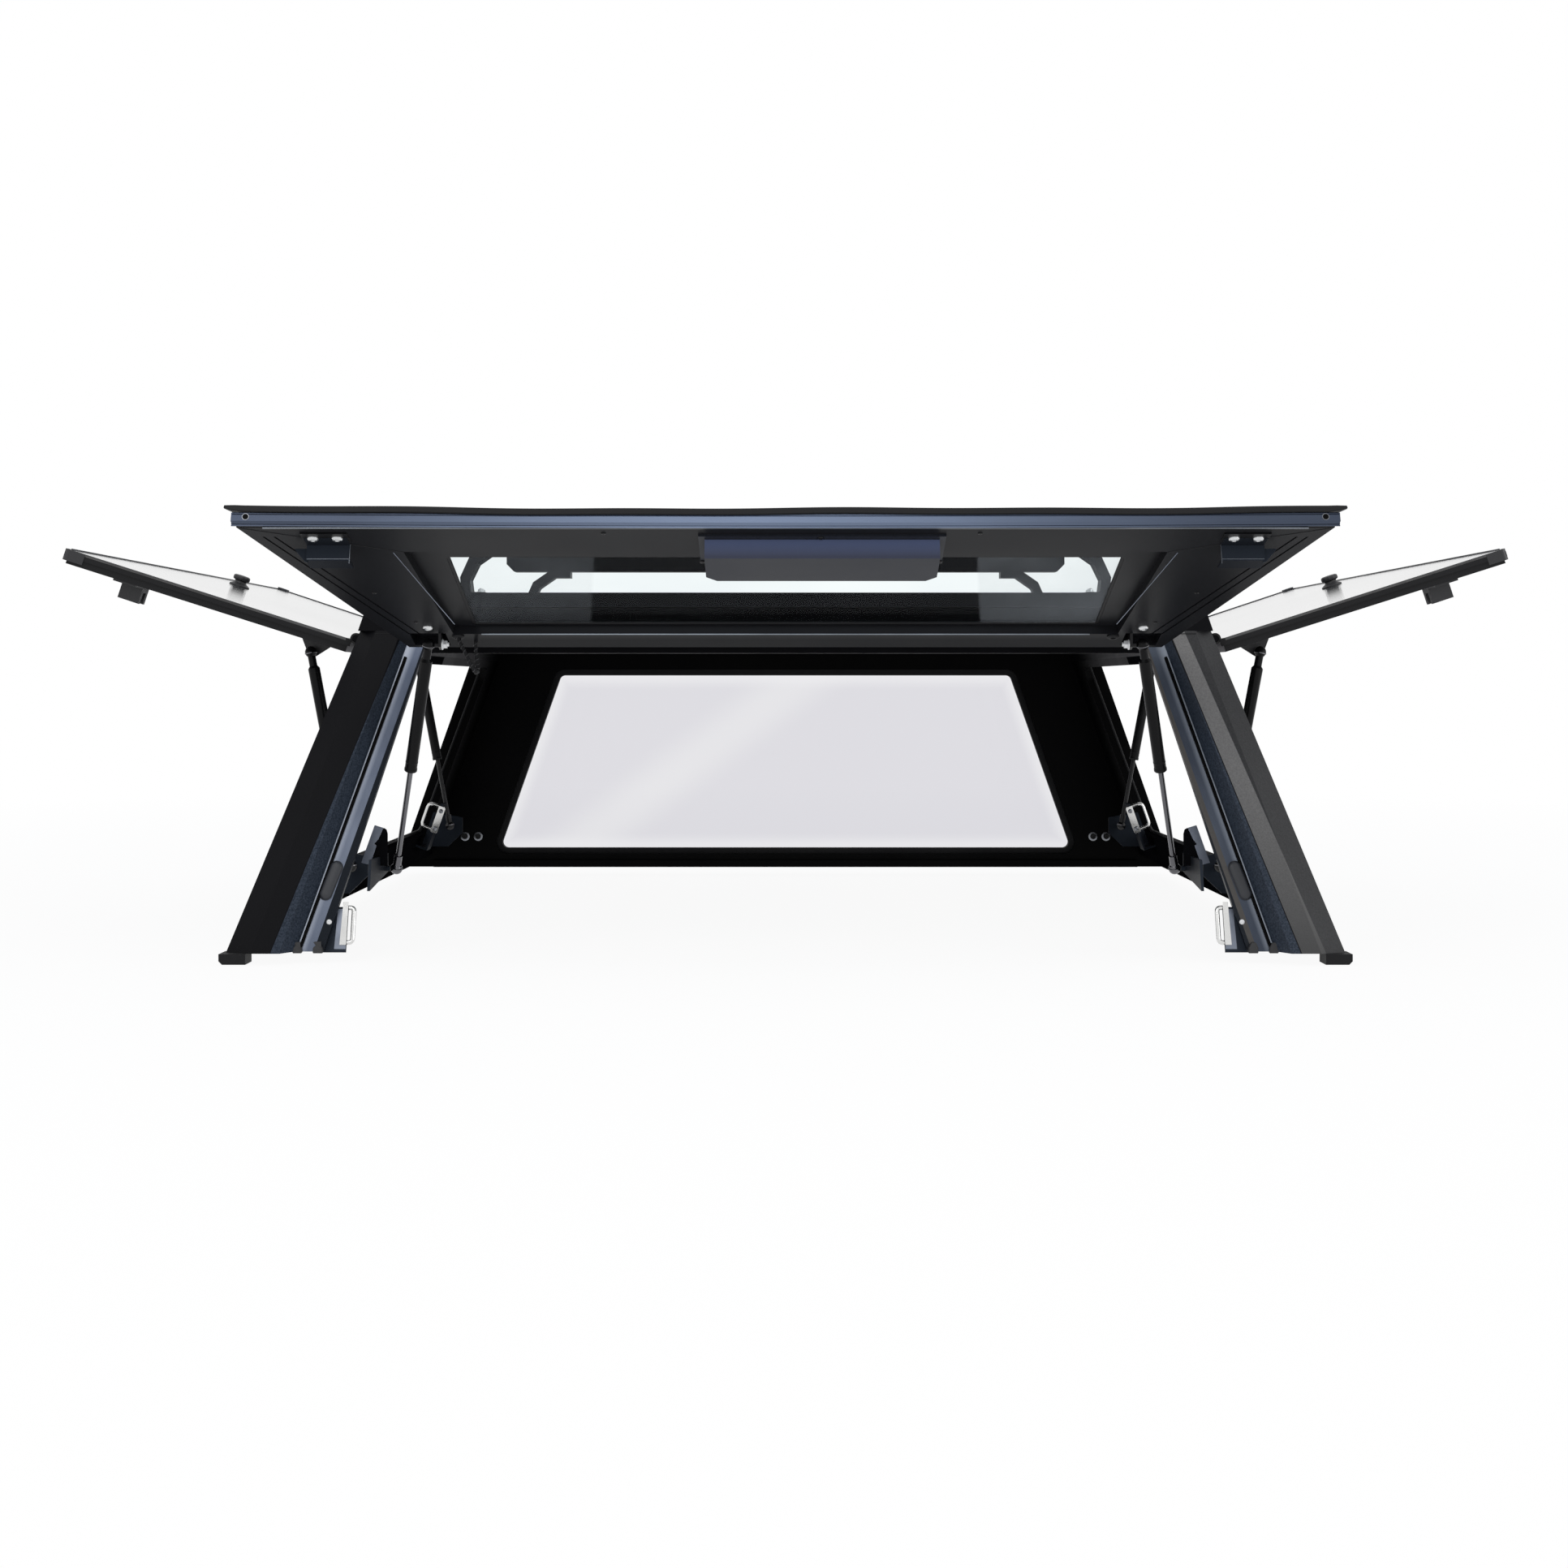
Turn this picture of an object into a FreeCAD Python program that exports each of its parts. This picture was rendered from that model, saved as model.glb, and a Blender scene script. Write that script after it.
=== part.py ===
import FreeCAD, Part
import math
import os
import Sketcher

# Pickup truck canopy in powder-coated sheet steel, millimetres.
# X points right as seen from behind, Y forward, Z up.
# The origin is the middle of the front wall's foot. All three doors are drawn open.

doc = FreeCAD.newDocument("Canopy")
sheet = doc.addObject("Spreadsheet::Sheet", "Sizes")

DRIVING = {
    # Shell
    "base_half": 800.0,
    "eave_half": 637.0,
    "eave_z": 463.0,
    "tail": 1520.0,
    "rake_run": 149.0,
    "front_half_thick": 20.0,
    "front_ledge_deep": 9.0,
    "front_ledge_high": 14.0,
    "front_ledge_in": 60.0,
    "skin_thick": 8.0,
    "side_landing_deep": 33.0,
    "rear_landing_deep": 27.0,
    "landing_thick": 12.0,
    # Roof
    "shoulder_in": 10.0,
    "shoulder_rise": 29.0,
    "crown_in": 137.0,
    "crown_rise": 28.0,
    "roof_thick": 22.0,
    # Front wall window
    "front_border": 171.0,
    "front_window_low_z": 27.0,
    "front_window_head": 48.0,
    "front_window_round": 24.0,
    "front_seal_wide": 12.0,
    "front_seal_thick": 16.0,
    "front_glass_thick": 5.0,
    # Side openings
    "side_open_head": 31.0,
    "side_open_low_z": 97.0,
    "side_open_front_top": 156.0,
    "side_open_front_low": 201.0,
    "side_open_rear_land": 46.0,
    "side_open_round": 26.0,
    "sill_step_z": 47.0,
    "sill_hollow_z": 40.0,
    # Rear posts
    "post_deep": 34.0,
    "post_bevel_deep": 18.0,
    "post_bevel_low": 38.0,
    "post_bevel_top": 27.0,
    "post_face_low": 80.0,
    "post_face_top": 64.0,
    "post_step_low": 98.0,
    "post_step_top": 76.0,
    "post_flange_low": 137.0,
    "post_flange_top": 103.0,
    "foot_drop": 15.0,
    "foot_wide": 38.0,
    "foot_over": 5.0,
    "plug_long": 60.0,
    "plug_wide": 19.0,
    "plug_high": 5.0,
    "plug_z": 99.0,
    "plug_in": 107.0,
    # Rear header
    "rear_header_high": 33.0,
    # Hinges
    "hinge_out": 10.0,
    "hinge_drop": 11.0,
    "bulb_radius": 5.0,
    "socket_gap": 0.6,
    "socket_wall": 3.0,
    "web_thick": 3.0,
    # Doors
    "door_drop": 3.0,
    "door_start": 5.0,
    "door_gap": 5.0,
    "glass_thick": 4.0,
    "rear_door_thick": 19.0,
    "rear_open_angle": 18.1,
    "rear_door_over": 12.2,
    "rear_door_top_in": 94.0,
    "rear_door_low_in": 102.0,
    "rear_rebate_long": 17.0,
    "rear_rebate_deep": 8.0,
    "rear_pan_start": 80.0,
    "rear_pan_border": 85.0,
    "rear_pan_deep": 13.0,
    "rear_pan_top_in": 91.0,
    "rear_pan_low_in": 172.0,
    "rear_window_lip": 3.0,
    "rear_window_sill": 50.0,
    "rear_window_in": 95.0,
    "rear_window_round": 8.0,
    "groove_wide": 3.0,
    "groove_deep": 2.0,
    "groove_outer_top": 26.0,
    "groove_outer_low": 16.0,
    "groove_inner_top": 41.0,
    "groove_inner_low": 30.0,
    "groove_end_in": 32.0,
    "rail_thick": 3.0,
    "rail_high": 12.0,
    "rail_over": 7.0,
    "rail_hole_in": 19.0,
    "rail_hole_radius": 4.0,
    "lip_high": 8.0,
    "lip_long": 12.0,
    "lip_over": 20.0,
    "cover_left": 104.0,
    "cover_right": 198.0,
    "cover_end_in": 32.0,
    "cover_long": 81.0,
    "cover_high": 27.0,
    "cover_bevel": 14.0,
    "cover_plate_over": 8.0,
    "latch_x_in": 97.0,
    "latch_wide": 56.0,
    "latch_end_in": 32.0,
    "latch_long": 50.0,
    "latch_hook_long": 28.0,
    "latch_high": 24.0,
    "latch_sheet": 3.0,
    "side_glass_in": 2.0,
    "side_hinge_bar": 8.0,
    "side_tier_thick": 7.0,
    "side_frame_thick": 17.0,
    "side_tier_in": 4.0,
    "side_open_angle": 18.4,
    "side_door_short": 14.4,
    "side_door_front": 125.0,
    "side_door_rear_gap": 39.0,
    "side_border": 34.0,
    "side_window_round": 20.0,
    "side_corner_round": 8.0,
    "side_latch_in": 85.0,
    "side_latch_long": 32.0,
    "side_latch_wide": 32.0,
    "side_latch_high": 27.0,
    "side_latch_slot": 14.0,
    "side_latch_slot_deep": 17.0,
    "side_latch_rear_in": 68.0,
    "side_latch_front_in": 156.0,
    "striker_radius": 3.0,
    "striker_reach": 26.0,
    "striker_half": 24.0,
    "striker_over": 8.0,
    "striker_foot": 17.6,
    # Gas struts
    "tube_radius": 9.0,
    "tube_bore": 7.2,
    "rod_radius": 4.0,
    "rod_gap": 0.3,
    "neck_radius": 6.0,
    "fitting_radius": 9.0,
    "fitting_long": 22.0,
    "rear_ball_stand": 12.5,
    "side_ball_stand": 22.0,
    "stud_radius": 4.0,
    "stud_gap": 0.5,
    "stud_long": 6.0,
    "mount_recess": 15.0,
    "mount_room": 26.0,
    "rear_ball_in": 51.0,
    "rear_ball_s": 70.0,
    "rear_seat_in": 175.0,
    "rear_seat_before_tail": 198.0,
    "rear_seat_z": 105.0,
    "side_ball_s": 80.0,
    "side_seat_in": 90.0,
    "side_seat_z": 100.0,
    "side_seat_front": 231.0,
    "side_seat_before_tail": 289.0,
    "rod_overlap": 45.0,
    "tube_share": 203.0,
    # Brackets
    "plate_thick": 4.0,
    "gusset_low_z": 57.0,
    "gusset_top_z": 126.0,
    "gusset_reach": 23.0,
    "striker_plate_wide": 44.0,
    # Knobs
    "knob_reach": 351.0,
    "knob_y": 701.0,
    "knob_base": 17.5,
    "knob_neck": 9.5,
    "knob_cap": 14.0,
    "knob_high": 30.0,
    # Roof rack
    "rack_foot_out": 10.0,
    "rack_cap_run": 84.0,
    "rack_bar_over": 39.0,
    "rack_bar_rise": 82.0,
    "rack_bar_high": 28.0,
    "rack_bar_wide": 42.0,
    "rack_before_tail": 289.0,
    "rack_front_y": 381.0,
    "rack_arm_wide": 38.0,
    "rack_arm_thick": 12.0,
}

for row, (alias, number) in enumerate(DRIVING.items(), start=1):
    sheet.set(f"A{row}", str(number))
    sheet.setAlias(f"A{row}", alias)
doc.recompute()


class Size:
    """A value together with the sheet expression that gives it."""

    def __init__(self, value, text):
        self.value = float(value)
        self.text = text

    def __float__(self):
        return self.value

    def __neg__(self):
        return Size(-self.value, f"(0 - {self.text})")

    def __add__(self, other):
        other = as_size(other)
        return Size(self.value + other.value, f"({self.text} + {other.text})")

    def __radd__(self, other):
        return as_size(other) + self

    def __sub__(self, other):
        return self + -as_size(other)

    def __rsub__(self, other):
        return as_size(other) - self

    def __mul__(self, other):
        other = as_size(other)
        return Size(self.value * other.value, f"({self.text} * {other.text})")

    def __rmul__(self, other):
        return as_size(other) * self

    def __truediv__(self, other):
        other = as_size(other)
        return Size(self.value / other.value, f"({self.text} / {other.text})")

    def __rtruediv__(self, other):
        return as_size(other) / self


def as_size(number):
    if isinstance(number, Size):
        return number
    return Size(number, f"{float(number):.6g}" if number >= 0 else f"(0 - {-float(number):.6g})")


def size(alias):
    return Size(sheet.get(alias), f"Sizes.{alias}")


def root(number):
    return Size(math.sqrt(number.value), f"sqrt({number.text})")


def cosine(angle):
    return Size(math.cos(math.radians(angle.value)), f"cos({angle.text})")


def sine(angle):
    return Size(math.sin(math.radians(angle.value)), f"sin({angle.text})")


class Sheet:
    """Gives each size of the sheet by its alias."""

    def __getattr__(self, alias):
        return size(alias)


d = Sheet()
LEAN = (d.base_half - d.eave_half) / d.eave_z
RAKE = d.rake_run / d.eave_z
LEAN_LONG = root(1 + LEAN * LEAN)
RAKE_LONG = root(1 + RAKE * RAKE)


def skin_x(height):
    """Half width of the outer skin at a height."""
    return d.base_half - LEAN * height


def tail_y(height):
    """Y of the raked rear plane at a height."""
    return RAKE * height - d.tail


SHOULDER_HALF = d.eave_half - d.shoulder_in
SHOULDER_Z = d.eave_z + d.shoulder_rise
CROWN_HALF = SHOULDER_HALF - d.crown_in
CROWN_Z = SHOULDER_Z + d.crown_rise
WALL_THICK = d.side_landing_deep + d.landing_thick
ROOF_INNER = d.eave_half - WALL_THICK
HEADER_HALF = d.eave_half - d.post_flange_top


HINGE_Z = d.eave_z - d.hinge_drop
HINGE_X = d.eave_half + d.hinge_out
HINGE_Y = tail_y(d.eave_z) - d.hinge_out
REAR_LONG = HINGE_Z * RAKE_LONG + d.rear_door_over
SIDE_LONG = (HINGE_Z - d.sill_step_z) * LEAN_LONG - d.side_door_short
SIDE_LATCH_S = SIDE_LONG - d.side_latch_in
REAR_SEAT_Y = d.rear_seat_before_tail - d.tail
SIDE_SEAT_REAR_Y = d.side_seat_before_tail - d.tail
RACK_REAR_Y = d.rack_before_tail - d.tail


def bind(thing, prop, number):
    """Ties a property to the sheet."""
    thing.setExpression(prop, as_size(number).text)


def place(thing, base=(0, 0, 0), axis=None, angle=None):
    """Ties an object's place to the sheet."""
    for letter, number in zip("xyz", base):
        bind(thing, f"Placement.Base.{letter}", number)
    if axis is not None:
        for letter, number in zip("xyz", axis):
            bind(thing, f"Placement.Rotation.Axis.{letter}", number)
        bind(thing, "Placement.Rotation.Angle", angle)


def new_body(label):
    body = doc.addObject("PartDesign::Body", label)
    body.Label = label
    return body


def sketch(body, name, plane, loops, height=None):
    """A sketch of closed loops of straight lines, each corner tied to the sheet."""
    made = body.newObject("Sketcher::SketchObject", name)
    support = next(f for f in body.Origin.OriginFeatures if f.Role == f"{plane}_Plane")
    made.AttachmentSupport = [(support, "")]
    made.MapMode = "FlatFace"
    if height is not None:
        bind(made, "AttachmentOffset.Base.z", height)
    first = 0
    for loop in loops:
        corners = [(as_size(a), as_size(b)) for a, b in loop]
        count = len(corners)
        for i in range(count):
            start, end = corners[i], corners[(i + 1) % count]
            made.addGeometry(Part.LineSegment(
                FreeCAD.Vector(start[0].value, start[1].value, 0),
                FreeCAD.Vector(end[0].value, end[1].value, 0)), False)
        for i in range(count):
            made.addConstraint(Sketcher.Constraint("Coincident", first + i, 2, first + (i + 1) % count, 1))
        for i in range(count):
            for kind, number in zip(("DistanceX", "DistanceY"), corners[i]):
                index = made.addConstraint(Sketcher.Constraint(kind, -1, 1, first + i, 1, number.value))
                made.setExpression(f"Constraints[{index}]", number.text)
        first += count
    return made


def circle_sketch(body, name, plane, circles, height=None):
    """A sketch of full circles, each given by its centre and radius."""
    made = body.newObject("Sketcher::SketchObject", name)
    support = next(f for f in body.Origin.OriginFeatures if f.Role == f"{plane}_Plane")
    made.AttachmentSupport = [(support, "")]
    made.MapMode = "FlatFace"
    if height is not None:
        bind(made, "AttachmentOffset.Base.z", height)
    for i, (across, up, radius) in enumerate(circles):
        across, up, radius = as_size(across), as_size(up), as_size(radius)
        made.addGeometry(Part.Circle(
            FreeCAD.Vector(across.value, up.value, 0), FreeCAD.Vector(0, 0, 1), radius.value), False)
        index = made.addConstraint(Sketcher.Constraint("Radius", i, radius.value))
        made.setExpression(f"Constraints[{index}]", radius.text)
        index = made.addConstraint(Sketcher.Constraint("DistanceX", -1, 1, i, 3, across.value))
        made.setExpression(f"Constraints[{index}]", across.text)
        index = made.addConstraint(Sketcher.Constraint("DistanceY", -1, 1, i, 3, up.value))
        made.setExpression(f"Constraints[{index}]", up.text)
    return made


def pad(body, profile, length, name, reverse=False, both=False):
    made = body.newObject("PartDesign::Pad", name)
    made.Profile = profile
    made.Reversed = reverse
    made.Midplane = both
    bind(made, "Length", length)
    doc.recompute()
    return made


def pocket(body, profile, name, depth=None, reverse=False, both=False):
    """A cut from the sketch plane, right through when no depth is given."""
    before = body.Shape.Volume
    made = body.newObject("PartDesign::Pocket", name)
    made.Profile = profile
    made.Reversed = reverse
    made.Midplane = both
    if depth is None:
        made.Type = "ThroughAll"
    else:
        bind(made, "Length", depth)
    doc.recompute()
    if body.Shape.Volume > before - 1:
        raise RuntimeError(f"{name} cuts nothing")
    return made


def round_edges(body, feature, radius, name, wanted):
    """Fillets the straight edges of a feature that a test on their two ends picks."""
    names = []
    for i, edge in enumerate(feature.Shape.Edges, start=1):
        if len(edge.Vertexes) == 2 and edge.Curve.TypeId == "Part::GeomLine":
            if wanted(edge.Vertexes[0].Point, edge.Vertexes[1].Point):
                names.append(f"Edge{i}")
    if not names:
        raise RuntimeError(f"{name} finds no edge")
    made = body.newObject("PartDesign::Fillet", name)
    made.Base = (feature, names)
    bind(made, "Radius", radius)
    doc.recompute()
    return made


def loft(body, low, high, name):
    made = body.newObject("PartDesign::AdditiveLoft", name)
    made.Profile = low
    made.Sections = [high]
    made.Ruled = True
    doc.recompute()
    return made


def mirror(source, label):
    """The left-hand copy of a right-hand piece."""
    made = doc.addObject("Part::Mirroring", label)
    made.Label = label
    made.Source = source
    made.Base = (0, 0, 0)
    made.Normal = (1, 0, 0)
    return made


def fuse(label, pieces):
    made = doc.addObject("Part::MultiFuse", label)
    made.Label = label
    made.Shapes = pieces
    return made


def group(label, pieces):
    made = doc.addObject("Part::Compound", label)
    made.Label = label
    made.Links = pieces
    return made


def cut(label, base, tool):
    made = doc.addObject("Part::Cut", label)
    made.Label = label
    made.Base = base
    made.Tool = tool
    return made


def common(label, base, tool):
    made = doc.addObject("Part::Common", label)
    made.Label = label
    made.Base = base
    made.Tool = tool
    return made


def box(name, low, high):
    """A box between two corners."""
    made = doc.addObject("Part::Box", name)
    for prop, a, b in zip(("Length", "Width", "Height"), low, high):
        bind(made, prop, as_size(b) - a)
    place(made, low)
    return made


def aimed(thing, start, end):
    """Puts an object's own Z along the line from start to end, its origin at start."""
    run = [as_size(b) - a for a, b in zip(start, end)]
    long = root(run[0] * run[0] + run[1] * run[1] + run[2] * run[2])
    ratio = run[2] / long
    for letter, number in zip("xyz", start):
        bind(thing, f"Placement.Base.{letter}", number)
    bind(thing, "Placement.Rotation.Axis.x", -run[1])
    bind(thing, "Placement.Rotation.Axis.y", run[0])
    bind(thing, "Placement.Rotation.Axis.z", 0)
    thing.setExpression("Placement.Rotation.Angle", f"acos({ratio.text})")
    return thing


def rod_between(name, start, end, radius):
    """A round bar from start to end."""
    made = doc.addObject("Part::Cylinder", name)
    bind(made, "Radius", radius)
    run = [as_size(b) - a for a, b in zip(start, end)]
    bind(made, "Height", root(run[0] * run[0] + run[1] * run[1] + run[2] * run[2]))
    return aimed(made, start, end)


def ball(name, centre, radius):
    made = doc.addObject("Part::Sphere", name)
    bind(made, "Radius", radius)
    place(made, centre)
    return made


nodes = {}


def keep(thing):
    nodes[thing.Label] = thing
    return thing


def keep_pair(right, left_label):
    keep(right)
    keep(mirror(right, left_label))


# Roof and rear header

def roof_panel():
    """A bent roof skin with a lip along each eave."""
    inner = ROOF_INNER
    drop = d.roof_thick
    half = [
        (inner, d.eave_z),
        (d.eave_half, d.eave_z),
        (SHOULDER_HALF, SHOULDER_Z),
        (CROWN_HALF, CROWN_Z),
    ]
    under = [
        (CROWN_HALF, CROWN_Z - drop),
        (inner, SHOULDER_Z - drop),
    ]
    left = [(-x, z) for x, z in reversed(half)]
    loop = half + left + [(-x, z) for x, z in reversed(under)] + under
    body = new_body("roof_panel")
    profile = sketch(body, "RoofSection", "XZ", [loop])
    pad(body, profile, d.front_half_thick - tail_y(d.eave_z), "RoofSkin")
    place(body, (0, d.front_half_thick, 0))
    return body


def rear_header():
    """The closed cross member over the rear door."""
    body = new_body("rear_header")
    loop = [
        (HEADER_HALF, d.eave_z - d.rear_header_high), (HEADER_HALF, d.eave_z), (ROOF_INNER, d.eave_z),
        (ROOF_INNER, SHOULDER_Z - d.roof_thick), (CROWN_HALF, CROWN_Z - d.roof_thick),
    ]
    loop += [(-x, z) for x, z in reversed(loop)]
    profile = sketch(body, "HeaderSection", "XZ", [loop])
    pad(body, profile, d.landing_thick * 2, "HeaderBeam", reverse=True)
    place(body, (0, tail_y(d.eave_z) + d.rear_landing_deep, 0))
    return body


keep(roof_panel())
keep(rear_header())


# Front wall and its window

def window_loop(grow):
    """The front window's outline, grown outward by a distance."""
    low, high = d.front_window_low_z, d.eave_z - d.front_window_head
    reach = LEAN_LONG * grow
    low_half = skin_x(low) - d.front_border + reach + LEAN * grow
    top_half = skin_x(high) - d.front_border + reach - LEAN * grow
    return [
        (-low_half, low - grow), (low_half, low - grow), (top_half, high + grow), (-top_half, high + grow),
    ]


def along_y(a, b):
    return abs(a.x - b.x) < 0.01 and abs(a.z - b.z) < 0.01


def window_corner(grow):
    """Picks the short edges along Y at the corners of the grown window outline."""
    corners = [(as_size(x).value, as_size(z).value) for x, z in window_loop(grow)]

    def wanted(a, b):
        return along_y(a, b) and any(math.hypot(a.x - x, a.z - z) < 0.1 for x, z in corners)

    return wanted


def front_wall():
    body = new_body("front_wall")
    half = [
        (d.base_half, as_size(0)), (d.eave_half, d.eave_z), (ROOF_INNER, d.eave_z),
        (ROOF_INNER, SHOULDER_Z - d.roof_thick), (CROWN_HALF, CROWN_Z - d.roof_thick),
    ]
    loop = half + [(-x, z) for x, z in reversed(half)]
    profile = sketch(body, "WallOutline", "XZ", [loop])
    pad(body, profile, d.front_half_thick * 2, "WallSkin", both=True)
    half, high = d.base_half - d.front_ledge_in, d.front_ledge_high
    ledge = sketch(body, "LedgeOutline", "XZ", [[(-half, 0), (half, 0), (half, high), (-half, high)]],
                   d.front_half_thick)
    pad(body, ledge, d.front_ledge_deep, "Ledge")
    hole = sketch(body, "WindowOutline", "XZ", [window_loop(0)])
    opening = pocket(body, hole, "WindowOpening", both=True)
    round_edges(body, opening, d.front_window_round, "WindowCorners", window_corner(0))
    return body


def front_window_seal():
    """The rubber frame that holds the pane in the wall."""
    body = new_body("front_window_seal")
    profile = sketch(body, "SealOutline", "XZ", [window_loop(0), window_loop(-d.front_seal_wide)])
    ring = pad(body, profile, d.front_seal_thick, "SealRing", both=True)
    ring = round_edges(body, ring, d.front_window_round - d.front_seal_wide, "SealInner",
                       window_corner(-d.front_seal_wide))
    round_edges(body, ring, d.front_window_round, "SealOuter", window_corner(0))
    return body


def front_window():
    body = new_body("front_window")
    profile = sketch(body, "PaneOutline", "XZ", [window_loop(-d.front_seal_wide)])
    pane = pad(body, profile, d.front_glass_thick, "Pane", both=True)
    round_edges(body, pane, d.front_window_round - d.front_seal_wide, "PaneCorners",
                window_corner(-d.front_seal_wide))
    return body


keep(front_wall())
keep(front_window_seal())
keep(front_window())


# Side walls, right-hand side first

def side_frame():
    """One pressed side frame: skin, recessed landing for the door, opening and hollow sill."""
    body = new_body("SideFrame")

    def section(height, name):
        return sketch(body, name, "XY", [[
            (skin_x(height), tail_y(height) + d.post_deep),
            (skin_x(height), -d.front_half_thick),
            (skin_x(height) - WALL_THICK, -d.front_half_thick),
            (skin_x(height) - WALL_THICK, tail_y(height) + d.post_deep),
        ]], height)

    loft(body, section(as_size(0), "FrameFoot"), section(d.eave_z, "FrameTop"), "FrameSlab")
    return body


OPEN_REAR = d.post_deep + d.side_open_rear_land
SIDE_OPEN_TOP = d.eave_z - d.side_open_head


def leaning(label, loop, from_depth, to_depth, rounds=None, radius=None):
    """A slab that leans with the side wall: loop in Y and Z, depths measured inward along X."""
    body = new_body(label)
    upright = [(as_size(y), as_size(z) * LEAN_LONG) for y, z in loop]
    profile = sketch(body, label + "Outline", "YZ", [upright], -as_size(from_depth) / LEAN_LONG)
    block = pad(body, profile, (to_depth - from_depth) / LEAN_LONG, label + "Slab", reverse=True)
    if radius is not None:
        corners = [(upright[i][0].value, upright[i][1].value) for i in rounds]

        def wanted(a, b):
            same = abs(a.y - b.y) < 0.01 and abs(a.z - b.z) < 0.01
            return same and any(math.hypot(a.y - y, a.z - z) < 0.1 for y, z in corners)

        round_edges(body, block, radius, label + "Corners", wanted)
    for letter, number in zip("xyz", (d.base_half, 0, 0)):
        bind(body, f"Placement.Base.{letter}", number)
    bind(body, "Placement.Rotation.Axis.x", 0)
    bind(body, "Placement.Rotation.Axis.y", 1)
    bind(body, "Placement.Rotation.Axis.z", 0)
    body.setExpression("Placement.Rotation.Angle", f"-1 * atan({LEAN.text})")
    return body


def recess_tool():
    high = CROWN_Z + d.side_landing_deep
    low = d.sill_step_z
    back = -d.tail - d.side_landing_deep
    front = -d.side_door_front + d.door_gap
    return leaning("DoorRecess", [(back, low), (front, low), (front, high), (back, high)],
                   -d.side_landing_deep, d.side_landing_deep)


def opening_tool():
    low, high = d.side_open_low_z, SIDE_OPEN_TOP
    loop = [
        (tail_y(low) + OPEN_REAR, low), (-d.side_open_front_low, low),
        (-d.side_open_front_top, high), (tail_y(high) + OPEN_REAR, high),
    ]
    return leaning("DoorOpening", loop, -d.side_landing_deep, WALL_THICK * 2,
                   rounds=(0, 1, 2, 3), radius=d.side_open_round)


def hollow_tool():
    """The hollow behind the sill's skin, open to the inside and below."""
    low = -d.side_landing_deep
    high = d.sill_hollow_z
    back = -d.tail - d.side_landing_deep
    front = -d.front_half_thick + d.side_landing_deep
    return leaning("SillHollow", [(back, low), (front, low), (front, high), (back, high)],
                   d.skin_thick, WALL_THICK * 2)


def side_members():
    """The frame cut into sill, front post, side header and rear landing."""
    frame = side_frame()
    stage = cut("FrameRecessed", frame, recess_tool())
    stage = cut("FrameOpened", stage, opening_tool())
    stage = cut("FrameHollow", stage, hollow_tool())
    doc.recompute()
    inside = d.eave_half - d.base_half / 4
    outside = d.base_half + d.side_landing_deep
    middle = -d.tail / 2
    low, high = d.side_open_low_z, SIDE_OPEN_TOP
    behind = -d.tail - d.side_landing_deep
    parts = {
        "sill": ((inside, behind, -d.side_landing_deep), (outside, 0, low)),
        "side_header": ((inside, behind, high), (outside, 0, CROWN_Z)),
        "front_post": ((inside, middle, low), (outside, 0, high)),
        "rear_landing": ((inside, behind, low), (outside, middle, high)),
    }
    for name, (near, far) in parts.items():
        tool = box(name + "_region", near, far)
        keep_pair(common(name + "_right", stage, tool), name + "_left")


side_members()


# Rear posts

def rear_post():
    """A folded corner post with a bevel, an outer face, a sloping step and a seal flange."""
    body = new_body("rear_post_right")

    def section(height, bevel, face, step, flange, name):
        out = skin_x(height)
        back = tail_y(height)
        inner = out - WALL_THICK
        land = back + d.rear_landing_deep
        behind = land + d.landing_thick
        return sketch(body, name, "XY", [[
            (out, back + d.post_bevel_deep), (out, back + d.post_deep), (inner, back + d.post_deep),
            (inner, behind), (out - flange, behind), (out - flange, land), (out - step, land),
            (out - face, back), (out - bevel, back),
        ]], height)

    low = section(as_size(0), d.post_bevel_low, d.post_face_low, d.post_step_low, d.post_flange_low,
                  "PostFoot")
    high = section(d.eave_z, d.post_bevel_top, d.post_face_top, d.post_step_top, d.post_flange_top,
                   "PostTop")
    loft(body, low, high, "PostFold")
    return body


keep_pair(rear_post(), "rear_post_left")


# Hinges: a bulb on a web along the roof, and a socket on each door that wraps it

def hinge_rail(label, long, face):
    """A hinge rail along its own Y, the bulb on the local origin line, seated on a face inward."""
    body = new_body(label)
    half_web = d.web_thick / 2
    foot = d.hinge_drop
    rise = foot / 2
    web = sketch(body, label + "Web", "XZ", [[
        (face(rise - half_web), rise - half_web), (as_size(0), -half_web), (as_size(0), half_web),
        (face(rise) + d.web_thick, rise + half_web), (face(foot) + d.web_thick, foot),
        (face(foot), foot),
    ]])
    pad(body, web, long, label + "WebPad", reverse=True)
    bulb = circle_sketch(body, label + "Bulb", "XZ", [(0, 0, d.bulb_radius)])
    pad(body, bulb, long, label + "BulbPad", reverse=True)
    return body


SIDE_REAR_Y = tail_y(HINGE_Z) + d.side_door_rear_gap
SIDE_FRONT_Y = -d.side_door_front
REAR_HINGE_HALF = HEADER_HALF - d.door_gap


def side_hinge_face(rise):
    return skin_x(HINGE_Z + rise) - d.side_landing_deep - HINGE_X


def rear_hinge_face(rise):
    return as_size(0) - d.hinge_out - d.rear_landing_deep


def hinge_rails():
    right = hinge_rail("SideHinge", SIDE_FRONT_Y - SIDE_REAR_Y, side_hinge_face)
    place(right, (HINGE_X, SIDE_REAR_Y, HINGE_Z))
    rear = hinge_rail("RearHinge", REAR_HINGE_HALF * 2, rear_hinge_face)
    place(rear, (-REAR_HINGE_HALF, HINGE_Y, HINGE_Z), (0, 0, 1), -90)
    return group("hinge_rails", [rear, right, mirror(right, "SideHingeLeft")])


keep(hinge_rails())


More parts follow.
